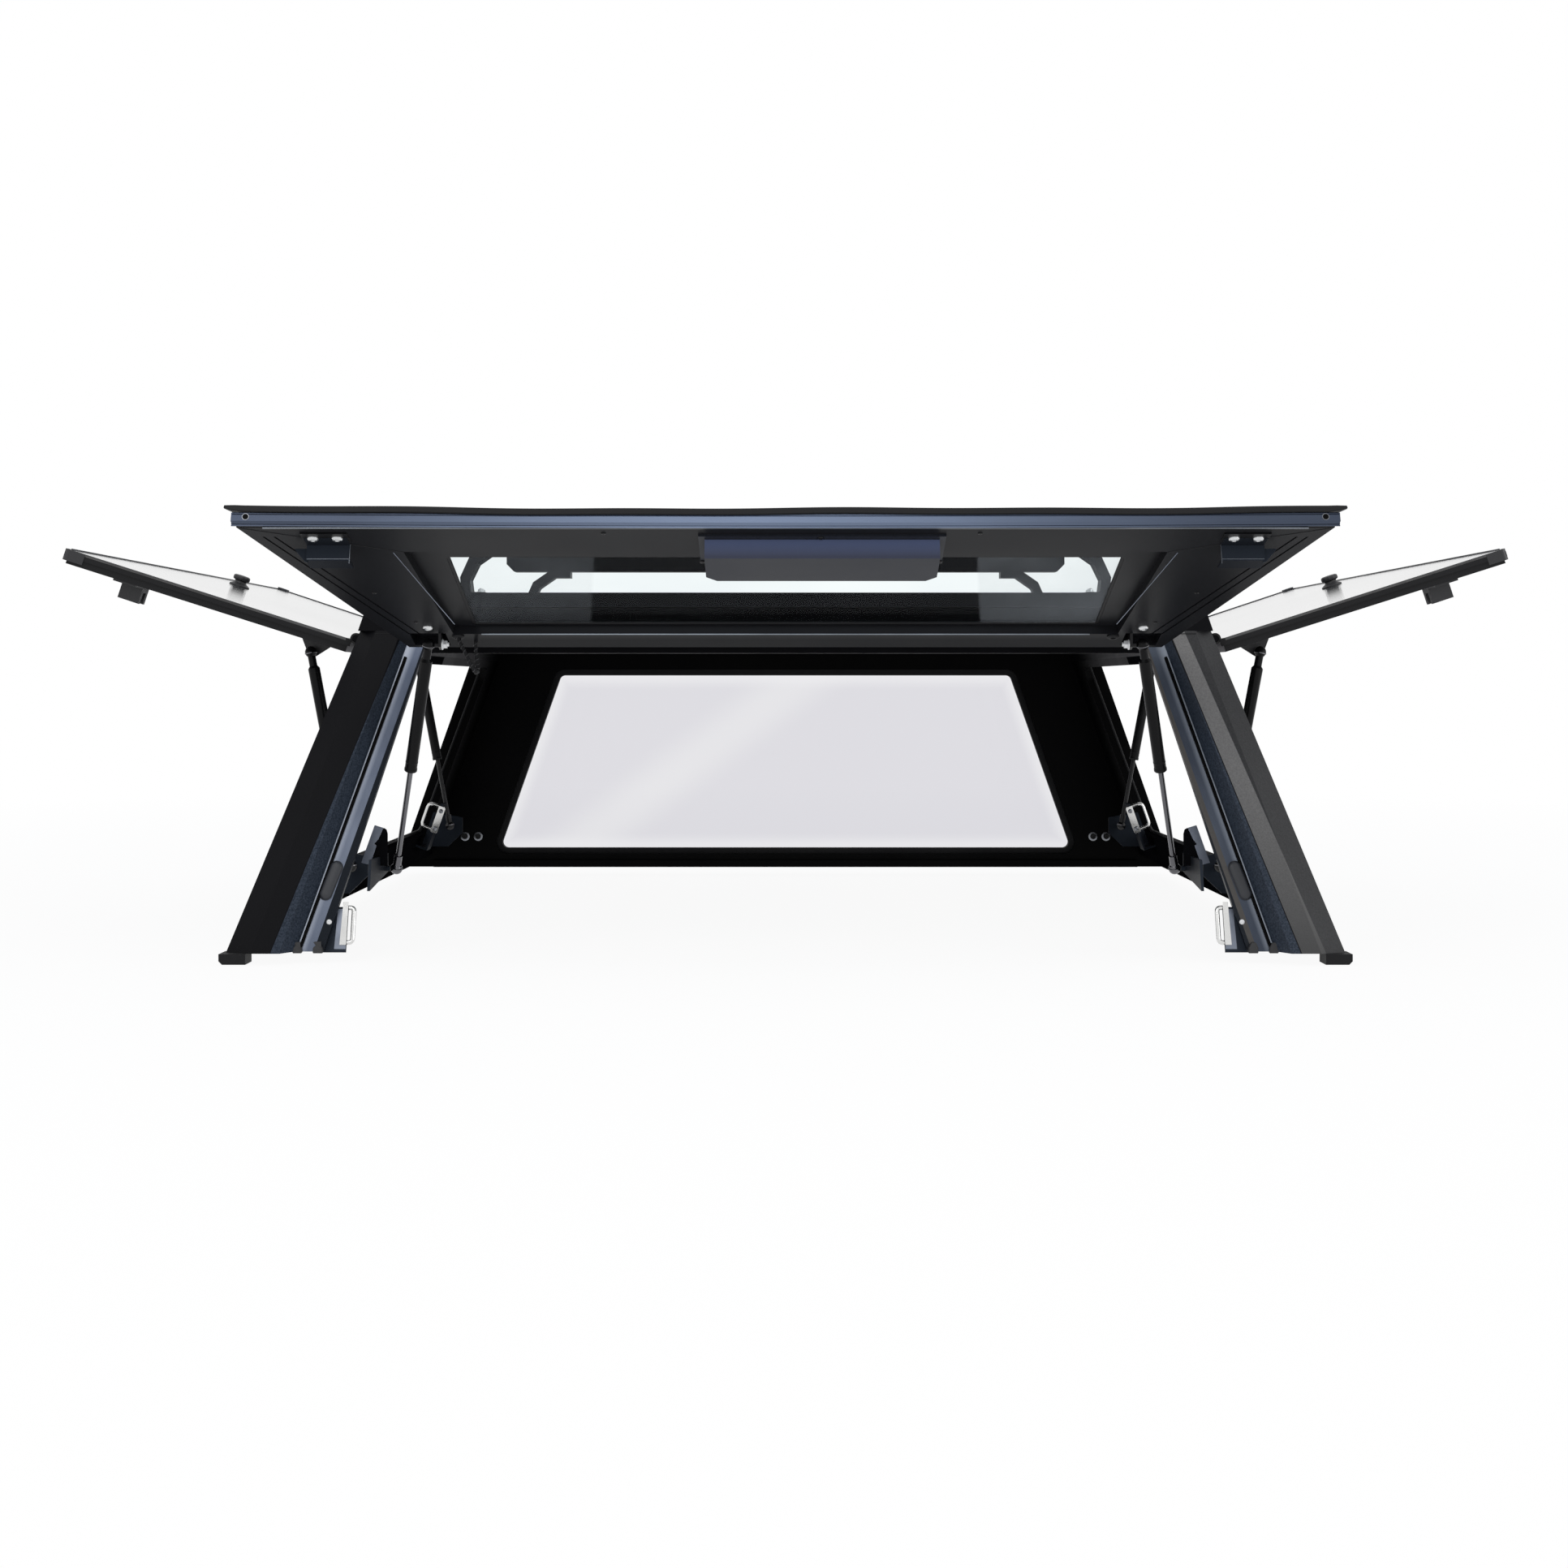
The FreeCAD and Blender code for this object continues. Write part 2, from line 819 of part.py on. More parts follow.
# Doors. Each is drawn flat: local Y runs from the hinge to the free edge or along it,
# local Z is the outer side, and the local origin lies on the hinge line.

DOOR_TOP = -d.door_drop
REAR_BOTTOM = DOOR_TOP - d.rear_door_thick
SIDE_BOTTOM = DOOR_TOP - d.glass_thick - d.side_frame_thick


def up_edge(a, b):
    return abs(a.x - b.x) < 0.01 and abs(a.y - b.y) < 0.01


def near(corners):
    """Picks the edges along local Z at the given corners."""
    points = [(as_size(x).value, as_size(y).value) for x, y in corners]

    def wanted(a, b):
        return up_edge(a, b) and any(math.hypot(a.x - x, a.y - y) < 0.1 for x, y in points)

    return wanted


def socket(body, name, along, start, end, outward):
    """The door's C-shaped socket, drawn across the hinge line and run along it."""
    inner = d.bulb_radius + d.socket_gap
    outer = inner + d.socket_wall
    made = body.newObject("Sketcher::SketchObject", name)
    plane = "YZ" if along == "x" else "XZ"
    support = next(f for f in body.Origin.OriginFeatures if f.Role == f"{plane}_Plane")
    made.AttachmentSupport = [(support, "")]
    made.MapMode = "FlatFace"
    bind(made, "AttachmentOffset.Base.z", start)
    first, last = (-95, 100) if outward > 0 else (80, 275)
    low, high = math.radians(first), math.radians(last)
    centre = FreeCAD.Vector(0, 0, 0)
    up = FreeCAD.Vector(0, 0, 1)
    made.addGeometry(Part.ArcOfCircle(Part.Circle(centre, up, outer.value), low, high), False)
    made.addGeometry(Part.ArcOfCircle(Part.Circle(centre, up, inner.value), low, high), False)

    def at(radius, angle):
        return FreeCAD.Vector(radius * math.cos(angle), radius * math.sin(angle), 0)

    made.addGeometry(Part.LineSegment(at(outer.value, high), at(inner.value, high)), False)
    made.addGeometry(Part.LineSegment(at(inner.value, low), at(outer.value, low)), False)
    add = made.addConstraint
    add(Sketcher.Constraint("Coincident", 0, 3, -1, 1))
    add(Sketcher.Constraint("Coincident", 1, 3, -1, 1))
    add(Sketcher.Constraint("Coincident", 0, 2, 2, 1))
    add(Sketcher.Constraint("Coincident", 2, 2, 1, 2))
    add(Sketcher.Constraint("Coincident", 1, 1, 3, 1))
    add(Sketcher.Constraint("Coincident", 3, 2, 0, 1))
    for geo, radius in ((0, outer), (1, inner)):
        index = add(Sketcher.Constraint("Radius", geo, radius.value))
        made.setExpression(f"Constraints[{index}]", radius.text)
    for geo, angle in ((2, last), (3, first + 180)):
        add(Sketcher.Constraint("Angle", geo, math.radians((angle + 180) % 360)))
    result = body.newObject("PartDesign::Pad", name + "Run")
    result.Profile = made
    bind(result, "Length", end - start)
    doc.recompute()
    return result


def rear_edge_half(reach):
    """Half width of the rear door at a distance from its hinge."""
    near_half = skin_x(HINGE_Z) - d.rear_door_top_in
    far_half = d.base_half - d.rear_door_low_in
    return near_half + (far_half - near_half) * (reach / REAR_LONG)


def place_rear(thing):
    """Swings a piece drawn flat on the rear door up to the open door's place."""
    for letter, number in zip("xyz", (0, HINGE_Y, HINGE_Z)):
        bind(thing, f"Placement.Base.{letter}", number)
    for letter, number in zip("xyz", (1, 0, 0)):
        bind(thing, f"Placement.Rotation.Axis.{letter}", number)
    thing.setExpression("Placement.Rotation.Angle", f"0 - {d.rear_open_angle.text}")
    return thing


def place_side(thing):
    """Swings a piece drawn flat on the right side door up to the open door's place."""
    for letter, number in zip("xyz", (HINGE_X, 0, HINGE_Z)):
        bind(thing, f"Placement.Base.{letter}", number)
    for letter, number in zip("xyz", (0, 1, 0)):
        bind(thing, f"Placement.Rotation.Axis.{letter}", number)
    thing.setExpression("Placement.Rotation.Angle", f"0 - {d.side_open_angle.text}")
    return thing


def rear_outline(start, end, inset_start, inset_end):
    """A tapered four-sided outline across the rear door, set in from its slanted edges."""
    near_half = rear_edge_half(start) - inset_start
    far_half = rear_edge_half(end) - inset_end
    return [(-near_half, -start), (-far_half, -end), (far_half, -end), (near_half, -start)]


def rear_pan():
    end = REAR_LONG - d.rear_pan_border
    return rear_outline(d.rear_pan_start, end, d.rear_pan_top_in, d.rear_pan_low_in)


def rear_window():
    half = rear_edge_half(0) - d.rear_window_in
    start = d.rear_pan_start + d.rear_window_lip
    end = REAR_LONG - d.rear_pan_border - d.rear_window_sill
    return [(-half, -start), (-half, -end), (half, -end), (half, -start)]


def groove(inset_top, inset_low, side):
    """A narrow slot along one slanted edge of the rear door."""
    start, end = d.rear_pan_start, REAR_LONG - d.groove_end_in
    near_x = (rear_edge_half(start) - inset_top) * side
    far_x = (rear_edge_half(end) - inset_low) * side
    wide = d.groove_wide * side
    return [(near_x, -start), (far_x, -end), (far_x - wide, -end), (near_x - wide, -start)]


def rear_door_frame():
    """A box-section frame with a stepped pan round the window and pressed grooves."""
    body = new_body("rear_door_frame")
    profile = sketch(body, "RearDoorOutline", "XY",
                     [rear_outline(d.door_start, REAR_LONG, 0, 0)], REAR_BOTTOM)
    pad(body, profile, d.rear_door_thick, "RearDoorPlate")
    socket(body, "RearSocket", "x", -REAR_HINGE_HALF, REAR_HINGE_HALF, -1)
    start, end = d.door_start, d.door_start + d.rear_rebate_long
    rebate = sketch(body, "HingeRebate", "XY", [rear_outline(start, end, -d.door_gap, -d.door_gap)],
                    REAR_BOTTOM)
    pocket(body, rebate, "HingeRebateCut", d.rear_rebate_deep, reverse=True)
    pan = sketch(body, "RearPan", "XY", [rear_pan()], REAR_BOTTOM)
    pocket(body, pan, "RearPanCut", d.rear_pan_deep, reverse=True)
    hole = sketch(body, "RearWindow", "XY", [rear_window()], DOOR_TOP)
    opening = pocket(body, hole, "RearWindowOpening", d.rear_door_thick)
    round_edges(body, opening, d.rear_window_round, "RearWindowCorners", near(rear_window()))
    loops = [groove(d.groove_outer_top, d.groove_outer_low, side) for side in (-1, 1)]
    loops += [groove(d.groove_inner_top, d.groove_inner_low, side) for side in (-1, 1)]
    slots = sketch(body, "RearGrooves", "XY", loops, REAR_BOTTOM)
    pocket(body, slots, "RearGrooveCut", d.groove_deep, reverse=True)
    room = d.mount_room
    start, end = d.rear_ball_s - room * 1.5, d.rear_ball_s + room / 2
    loops = []
    for side in (-1, 1):
        middle = REAR_BALL_X * side
        loops.append([(middle - room, -start), (middle + room, -start),
                      (middle + room, -end), (middle - room, -end)])
    pans = sketch(body, "StrutPans", "XY", loops, REAR_BOTTOM)
    pocket(body, pans, "StrutPanCut", d.mount_recess, reverse=True)
    return place_rear(body)


def rear_door_glass():
    body = new_body("rear_door_glass")
    profile = sketch(body, "RearPane", "XY", [rear_window()], DOOR_TOP - d.glass_thick)
    pane = pad(body, profile, d.glass_thick, "RearPanePad")
    round_edges(body, pane, d.rear_window_round, "RearPaneCorners", near(rear_window()))
    return place_rear(body)


def rear_door_rail():
    """The capping rail on the free edge, with a drain hole near each end."""
    body = new_body("rear_door_rail")
    half = rear_edge_half(REAR_LONG) + d.rail_over
    low = DOOR_TOP - d.rail_high
    loop = [(-half, low), (half, low), (half, DOOR_TOP), (-half, DOOR_TOP)]
    profile = sketch(body, "RailOutline", "XZ", [loop], REAR_LONG)
    pad(body, profile, d.rail_thick, "RailBar")
    across = half - d.rail_hole_in
    middle = (low + DOOR_TOP) / 2
    holes = circle_sketch(body, "RailHoles", "XZ", [(-across, middle, d.rail_hole_radius),
                                                    (across, middle, d.rail_hole_radius)],
                          REAR_LONG)
    pocket(body, holes, "RailHoleCut", d.rail_thick, reverse=True)
    return place_rear(body)


def rear_door_lip():
    """The rubber lip that stands on the free edge and closes over the tailgate."""
    body = new_body("rear_door_lip")
    half = rear_edge_half(REAR_LONG) + d.lip_over
    end = REAR_LONG + d.rail_thick
    profile = sketch(body, "LipOutline", "XY", [[
        (-half, -end), (half, -end), (half, d.lip_long - end), (-half, d.lip_long - end)]], DOOR_TOP)
    pad(body, profile, d.lip_high, "LipStrip")
    return place_rear(body)


def lock_cover():
    """The cover over the rear lock's works, on its backing plate."""
    body = new_body("lock_cover")
    end = REAR_LONG - d.cover_end_in
    start = end - d.cover_long
    over = d.cover_plate_over
    plate = sketch(body, "CoverPlate", "XY", [[
        (-d.cover_left - over, -start), (-d.cover_left - over, -end - over),
        (d.cover_right + over, -end - over), (d.cover_right + over, -start)]], REAR_BOTTOM)
    pad(body, plate, d.latch_sheet, "CoverPlateSheet", reverse=True)
    bevel = d.cover_bevel
    shell = sketch(body, "CoverOutline", "XY", [[
        (-d.cover_left, -end), (d.cover_right, -end), (d.cover_right, -start - bevel),
        (d.cover_right - bevel, -start), (bevel - d.cover_left, -start), (-d.cover_left, -start - bevel)]],
        REAR_BOTTOM - d.latch_sheet)
    pad(body, shell, d.cover_high, "CoverShell", reverse=True)
    return place_rear(body)


def rear_latches():
    """Hooked latch brackets folded from sheet, one near each end of the free edge."""
    made = []
    end = REAR_LONG - d.latch_end_in
    hook = end - d.latch_long + d.latch_hook_long
    start = end - d.latch_long
    sheet_low = REAR_BOTTOM - d.latch_sheet
    low = REAR_BOTTOM - d.latch_high
    middle = rear_edge_half(end) - d.latch_x_in
    body = new_body("RearLatch")
    profile = sketch(body, "LatchSection", "YZ", [[
        (-end, REAR_BOTTOM), (-end, sheet_low), (-hook, sheet_low), (-hook, low), (-start, low),
        (-start, low + d.latch_sheet), (d.latch_sheet - hook, low + d.latch_sheet),
        (d.latch_sheet - hook, REAR_BOTTOM)]], middle - d.latch_wide / 2)
    pad(body, profile, d.latch_wide, "LatchFold")
    side = sketch(body, "LatchCheek", "YZ", [[
        (-hook, sheet_low), (-hook, low), (-start, low), (-start, sheet_low)]],
        middle + d.latch_wide / 2 - d.latch_sheet)
    pad(body, side, d.latch_sheet, "LatchCheekSheet")
    made.append(place_rear(body))
    made.append(mirror(body, "RearLatchLeft"))
    return group("rear_latches", made)


REAR_BALL_X = rear_edge_half(d.rear_ball_s) - d.rear_ball_in
keep(rear_door_frame())
keep(rear_door_glass())
keep(rear_door_rail())
keep(rear_door_lip())
keep(lock_cover())
keep(rear_latches())


def side_edge_y(reach):
    """Y of the side door's raked rear edge at a distance from its hinge."""
    drop = reach / LEAN_LONG
    return SIDE_REAR_Y - RAKE * drop


def side_outline(inset, start=None):
    """The side door's outline set in from its edges, begun at a distance from the hinge."""
    start = d.door_start + inset if start is None else start
    end = SIDE_LONG - inset
    slope = RAKE / LEAN_LONG
    reach = root(1 + slope * slope) * inset
    return [
        (start, side_edge_y(start) + reach), (end, side_edge_y(end) + reach),
        (end, SIDE_FRONT_Y - inset), (start, SIDE_FRONT_Y - inset),
    ]


def side_door_frame():
    """A two-tier frame with a bar beside the hinge, behind a pane that covers its face."""
    body = new_body("side_door_frame_right")
    under = DOOR_TOP - d.glass_thick
    lower = sketch(body, "SideLowerTier", "XY", [side_outline(d.side_tier_in)], SIDE_BOTTOM)
    pad(body, lower, d.side_frame_thick - d.side_tier_thick, "SideLowerPlate")
    upper = sketch(body, "SideUpperTier", "XY", [side_outline(as_size(0))], under - d.side_tier_thick)
    pad(body, upper, d.side_tier_thick, "SideUpperPlate")
    far = d.door_start + d.side_hinge_bar
    bar = sketch(body, "SideHingeBar", "XY", [[
        (d.door_start, side_edge_y(d.door_start)), (far, side_edge_y(far)),
        (far, SIDE_FRONT_Y), (d.door_start, SIDE_FRONT_Y)]], under - d.side_tier_thick)
    pad(body, bar, d.side_tier_thick + d.glass_thick, "SideHingeBarPad")
    socket(body, "SideSocket", "y", -SIDE_FRONT_Y, -SIDE_REAR_Y, 1)
    loop = side_outline(d.side_border)
    hole = sketch(body, "SideWindow", "XY", [loop], DOOR_TOP)
    opening = pocket(body, hole, "SideWindowOpening", d.side_frame_thick + d.glass_thick)
    round_edges(body, opening, d.side_window_round, "SideWindowCorners", near(loop))
    return place_side(body)


def side_door_glass():
    body = new_body("side_door_glass_right")
    loop = side_outline(d.side_glass_in, d.door_start + d.side_hinge_bar)
    profile = sketch(body, "SidePane", "XY", [loop], DOOR_TOP - d.glass_thick)
    pane = pad(body, profile, d.glass_thick, "SidePanePad")
    round_edges(body, pane, d.side_corner_round, "SidePaneCorners", near(loop[1:3]))
    return place_side(body)


def latch_y(end):
    """Y of the middle of a side door latch."""
    if end == "rear":
        return side_edge_y(SIDE_LATCH_S) + d.side_latch_rear_in
    return SIDE_FRONT_Y - d.side_latch_front_in


def side_latches():
    """Slotted latch blocks under the side door, each on an arm from the frame."""
    made = []
    low_s = SIDE_LATCH_S - d.side_latch_long / 2
    high_s = SIDE_LATCH_S + d.side_latch_long / 2
    half = d.side_latch_wide / 2
    for end in ("rear", "front"):
        body = new_body(f"SideLatch{end}")
        middle = latch_y(end)
        if end == "rear":
            inset = d.door_gap * 2
            arm = [(low_s, side_edge_y(low_s) + inset), (high_s, side_edge_y(high_s) + inset),
                   (high_s, middle + half), (low_s, middle + half)]
        else:
            arm = [(low_s, middle - half), (high_s, middle - half),
                   (high_s, SIDE_FRONT_Y - d.door_gap * 2), (low_s, SIDE_FRONT_Y - d.door_gap * 2)]
        plate = sketch(body, f"LatchArm{end}", "XY", [arm], SIDE_BOTTOM - d.latch_sheet)
        pad(body, plate, d.latch_sheet, f"LatchArmSheet{end}")
        deep = SIDE_BOTTOM - d.side_latch_high
        slot = d.side_latch_slot / 2
        roof = deep + d.side_latch_slot_deep
        block = sketch(body, f"LatchBlock{end}", "YZ", [[
            (middle - half, SIDE_BOTTOM), (middle - half, deep), (middle - slot, deep),
            (middle - slot, roof), (middle + slot, roof), (middle + slot, deep),
            (middle + half, deep), (middle + half, SIDE_BOTTOM)]], low_s)
        pad(body, block, d.side_latch_long, f"LatchBlockPad{end}")
        made.append(place_side(body))
    return group("side_latches_right", made)


keep_pair(side_door_frame(), "side_door_frame_left")
keep_pair(side_door_glass(), "side_door_glass_left")
keep_pair(side_latches(), "side_latches_left")


# Gas struts

REAR_BALL_N = REAR_BOTTOM - d.rear_ball_stand
SIDE_BALL_N = SIDE_BOTTOM - d.side_ball_stand


def rear_point(x, reach, rise):
    """A point of the open rear door: across, away from the hinge, and outward of it."""
    turn, lift = cosine(d.rear_open_angle), sine(d.rear_open_angle)
    return x, HINGE_Y - reach * turn + rise * lift, HINGE_Z + reach * lift + rise * turn


def side_point(reach, y, rise):
    """A point of the open right side door."""
    turn, lift = cosine(d.side_open_angle), sine(d.side_open_angle)
    return HINGE_X + reach * turn - rise * lift, y, HINGE_Z + reach * lift + rise * turn


def turned(label, loop):
    """A piece turned about its own Z, from half a section in X and Z."""
    body = new_body(label)
    profile = sketch(body, label + "Section", "XZ", [loop])
    made = body.newObject("PartDesign::Revolution", label + "Turn")
    made.Profile = profile
    axis = next(f for f in body.Origin.OriginFeatures if f.Role == "Z_Axis")
    made.ReferenceAxis = (axis, [""])
    made.Angle = 360
    doc.recompute()
    return body


def strut_rod(label, seat, top):
    """The rod and its lower ball fitting, from the lower ball towards the upper one."""
    run = [as_size(b) - a for a, b in zip(seat, top)]
    long = root(run[0] * run[0] + run[1] * run[1] + run[2] * run[2])
    tip = long - d.tube_share + d.rod_overlap
    body = turned(label + "_bar", [
        (0, 0), (d.neck_radius, 0), (d.neck_radius, d.fitting_long),
        (d.rod_radius, d.fitting_long), (d.rod_radius, tip), (0, tip),
    ])
    return fuse(label, [aimed(body, seat, top), ball(label + "_ball", seat, d.fitting_radius)])


def strut_tube(label, seat, top):
    """The hollow cylinder and its upper ball fitting, from the upper ball towards the lower one."""
    neck = d.fitting_long
    bore = d.rod_radius + d.rod_gap
    long = d.tube_share
    wall_end = neck + d.tube_radius
    body = turned(label + "_bar", [
        (0, 0), (d.neck_radius, 0), (d.neck_radius, neck), (d.tube_radius, neck + d.rod_radius),
        (d.tube_radius, long), (bore, long), (bore, long - d.tube_radius),
        (d.tube_bore, long - d.tube_radius), (d.tube_bore, wall_end), (0, wall_end),
    ])
    return fuse(label, [aimed(body, top, seat), ball(label + "_ball", top, d.fitting_radius)])


REAR_SEAT = (skin_x(d.rear_seat_z) - d.rear_seat_in, REAR_SEAT_Y, d.rear_seat_z)
REAR_TOP = rear_point(REAR_BALL_X, d.rear_ball_s, REAR_BALL_N)
keep_pair(strut_rod("rear_strut_rod_right", REAR_SEAT, REAR_TOP), "rear_strut_rod_left")
keep_pair(strut_tube("rear_strut_tube_right", REAR_SEAT, REAR_TOP), "rear_strut_tube_left")
SIDE_SEAT_X = skin_x(d.side_seat_z) - d.side_seat_in
SIDE_SEATS = {}
SIDE_TOPS = {}
for end, strut_y in (("rear", SIDE_SEAT_REAR_Y), ("front", -d.side_seat_front)):
    SIDE_SEATS[end] = (SIDE_SEAT_X, strut_y, d.side_seat_z)
    SIDE_TOPS[end] = side_point(d.side_ball_s, strut_y, SIDE_BALL_N)
    rod = strut_rod(f"side_{end}_rod_right", SIDE_SEATS[end], SIDE_TOPS[end])
    tube = strut_tube(f"side_{end}_tube_right", SIDE_SEATS[end], SIDE_TOPS[end])
    keep_pair(rod, f"side_{end}_rod_left")
    keep_pair(tube, f"side_{end}_tube_left")


# Strut brackets. Every stud ends just beside its strut's ball fitting.

STUD_START = d.fitting_radius + d.stud_gap
STUD_REACH = STUD_START + d.stud_long


def flat_plate(name, loop, thick, plane, height=None):
    """A plate with an outline on one of its own planes, padded towards positive."""
    body = new_body(name)
    profile = sketch(body, name + "Outline", plane, [loop], height)
    pad(body, profile, thick, name + "Sheet")
    return body


def stud(name, centre, axis):
    """A stud along X or Y from beside a fitting to its bracket plate."""
    start, end = list(centre), list(centre)
    index = "xyz".index(axis)
    start[index] = start[index] + STUD_START
    end[index] = end[index] + STUD_REACH
    return rod_between(name, start, end, d.stud_radius)


def side_gusset(name, seat_y):
    """A folded plate across the sill that carries a strut's lower end."""
    x, z = SIDE_SEAT_X, d.side_seat_z
    low, high = d.gusset_low_z, d.gusset_top_z
    inner = x - d.gusset_reach
    loop = [
        (skin_x(high) - WALL_THICK, high), (inner, z + STUD_REACH), (inner, z - STUD_REACH),
        (x + d.neck_radius, low), (skin_x(low) - WALL_THICK, low),
    ]
    plate = flat_plate(name, loop, d.plate_thick, "XZ")
    place(plate, (0, seat_y + STUD_REACH + d.plate_thick, 0))
    return plate


def strut_brackets():
    """All plates and studs that carry the struts' lower ends."""
    right = []
    for end, seat_y in (("Rear", SIDE_SEAT_REAR_Y), ("Front", -d.side_seat_front)):
        seat = (SIDE_SEAT_X, seat_y, d.side_seat_z)
        plate = side_gusset(f"Side{end}Gusset", seat_y)
        right.append(fuse(f"Side{end}Bracket", [plate, stud(f"Side{end}Stud", seat, "y")]))
    z = d.rear_seat_z
    low, high = z - d.fitting_long, z + d.fitting_long
    thick = d.rear_landing_deep + d.landing_thick
    front = REAR_SEAT_Y + STUD_REACH
    loop = [
        (tail_y(low) + thick, low), (front, z - d.neck_radius), (front, high), (tail_y(high) + thick, high),
    ]
    plate = flat_plate("RearGusset", loop, d.plate_thick, "YZ", REAR_SEAT[0] + STUD_REACH)
    right.append(fuse("RearBracket", [plate, stud("RearStud", REAR_SEAT, "x")]))
    return group("strut_brackets", right + [mirror(piece, piece.Label + "Left") for piece in right])


keep(strut_brackets())


def side_door_mounts():
    """Plates under the side door's top band that carry the struts' upper ends."""
    made = []
    for end, strut_y in (("Rear", SIDE_SEAT_REAR_Y), ("Front", -d.side_seat_front)):
        name = f"SideTop{end}"
        body = new_body(name)
        start, stop = d.door_start + d.door_gap, d.side_ball_s + d.neck_radius
        deep = SIDE_BALL_N - d.neck_radius
        profile = sketch(body, name + "Outline", "XZ", [[
            (start, SIDE_BOTTOM), (start, SIDE_BOTTOM - d.neck_radius / 3), (d.side_ball_s, deep),
            (stop, deep), (stop, SIDE_BALL_N + d.neck_radius), (d.side_border, SIDE_BOTTOM),
        ]], -(strut_y + STUD_REACH))
        pad(body, profile, d.plate_thick, name + "Plate", reverse=True)
        pin = circle_sketch(body, name + "Pin", "XZ", [(d.side_ball_s, SIDE_BALL_N, d.stud_radius)],
                            -(strut_y + STUD_START))
        pad(body, pin, d.stud_long + d.plate_thick / 2, name + "Stud", reverse=True)
        made.append(place_side(body))
    return group("side_strut_mounts_right", made)


keep_pair(side_door_mounts(), "side_strut_mounts_left")


def rear_door_mounts():
    """Plates in the rear door's strut recesses that carry the struts' upper ends."""
    body = new_body("RearTop")
    reach = d.rear_ball_s
    start = REAR_BALL_X - STUD_REACH - d.plate_thick
    deep = REAR_BALL_N - d.neck_radius
    floor = REAR_BOTTOM + d.mount_recess
    top = reach - d.mount_room
    profile = sketch(body, "RearTopOutline", "YZ", [[
        (-top, floor), (-top, REAR_BOTTOM), (d.neck_radius - reach, deep), (-reach - d.neck_radius, deep),
        (-reach - d.mount_room / 2, REAR_BOTTOM), (-reach - d.mount_room / 2, floor),
    ]], start)
    pad(body, profile, d.plate_thick, "RearTopPlate")
    pin = circle_sketch(body, "RearTopPin", "YZ", [(-reach, REAR_BALL_N, d.stud_radius)],
                        start + d.plate_thick / 2)
    pad(body, pin, d.plate_thick / 2 + d.stud_long, "RearTopStud")
    place_rear(body)
    return group("rear_strut_mounts", [body, mirror(body, "RearTopLeft")])


keep(rear_door_mounts())


# Strikers: bent wires on plates, which the latches close over

def bent_wire(name, corners):
    """A round wire along straight runs, with a ball in each bend."""
    pieces = []
    for i in range(len(corners) - 1):
        pieces.append(rod_between(f"{name}Run{i}", corners[i], corners[i + 1], d.striker_radius))
    for i in range(1, len(corners) - 1):
        pieces.append(ball(f"{name}Bend{i}", corners[i], d.striker_radius))
    return pieces


def closed_side_point(reach, y, rise):
    """A point of the closed right side door: down the lean from the hinge, and outward."""
    down, out = 1 / LEAN_LONG, LEAN / LEAN_LONG
    return HINGE_X + reach * out + rise * down, y, HINGE_Z - reach * down + rise * out


def place_closed_side(thing):
    """Puts a piece drawn flat on the right side door at the closed door's place."""
    place(thing, (HINGE_X, 0, HINGE_Z))
    for letter, number in zip("xyz", (0, 1, 0)):
        bind(thing, f"Placement.Rotation.Axis.{letter}", number)
    thing.setExpression("Placement.Rotation.Angle", f"atan(1 / {LEAN.text})")


def side_striker(end):
    """A striker whose wire stands in the closed latch's slot, and its bracket from the sill."""
    y = latch_y(end)
    bar_n = SIDE_BOTTOM - d.side_latch_high + d.striker_over
    foot_n = bar_n - d.striker_reach
    low, high = SIDE_LATCH_S - d.striker_half, SIDE_LATCH_S + d.striker_half
    wire = bent_wire(f"SideStriker{end}", [
        closed_side_point(low, y, foot_n), closed_side_point(low, y, bar_n),
        closed_side_point(high, y, bar_n), closed_side_point(high, y, foot_n)])
    bracket = new_body(f"StrikerBracket{end}")
    thick = d.plate_thick
    top = low - d.striker_over
    bottom = (HINGE_Z - d.side_open_low_z + d.striker_foot) * LEAN_LONG
    wall_n = (skin_x(HINGE_Z) - HINGE_X - WALL_THICK) / LEAN_LONG
    profile = sketch(bracket, f"StrikerFold{end}", "XZ", [[
        (top, foot_n), (top, foot_n - thick), (bottom, foot_n - thick), (bottom, wall_n),
        (bottom - thick, wall_n), (bottom - thick, foot_n)]], d.striker_plate_wide / 2 - y)
    pad(bracket, profile, d.striker_plate_wide, f"StrikerFoldPad{end}", reverse=True)
    place_closed_side(bracket)
    return fuse(f"SideStrikerWire{end}", wire), bracket


def rear_plane(depth):
    """Height along the closed rear door's outward axis of a plane that far inside the tail."""
    return (HINGE_Y - tail_y(HINGE_Z) - depth) / RAKE_LONG


def closed_rear_point(x, reach, rise):
    """A point of the closed rear door: across, down the rake from the hinge, and outward."""
    down, back = 1 / RAKE_LONG, RAKE / RAKE_LONG
    return x, HINGE_Y - reach * back - rise * down, HINGE_Z - reach * down + rise * back


def place_closed_rear(thing):
    """Puts a piece drawn flat on the rear door at the closed door's place."""
    place(thing, (0, HINGE_Y, HINGE_Z))
    for letter, number in zip("xyz", (1, 0, 0)):
        bind(thing, f"Placement.Rotation.Axis.{letter}", number)
    thing.setExpression("Placement.Rotation.Angle", f"atan(1 / {RAKE.text})")


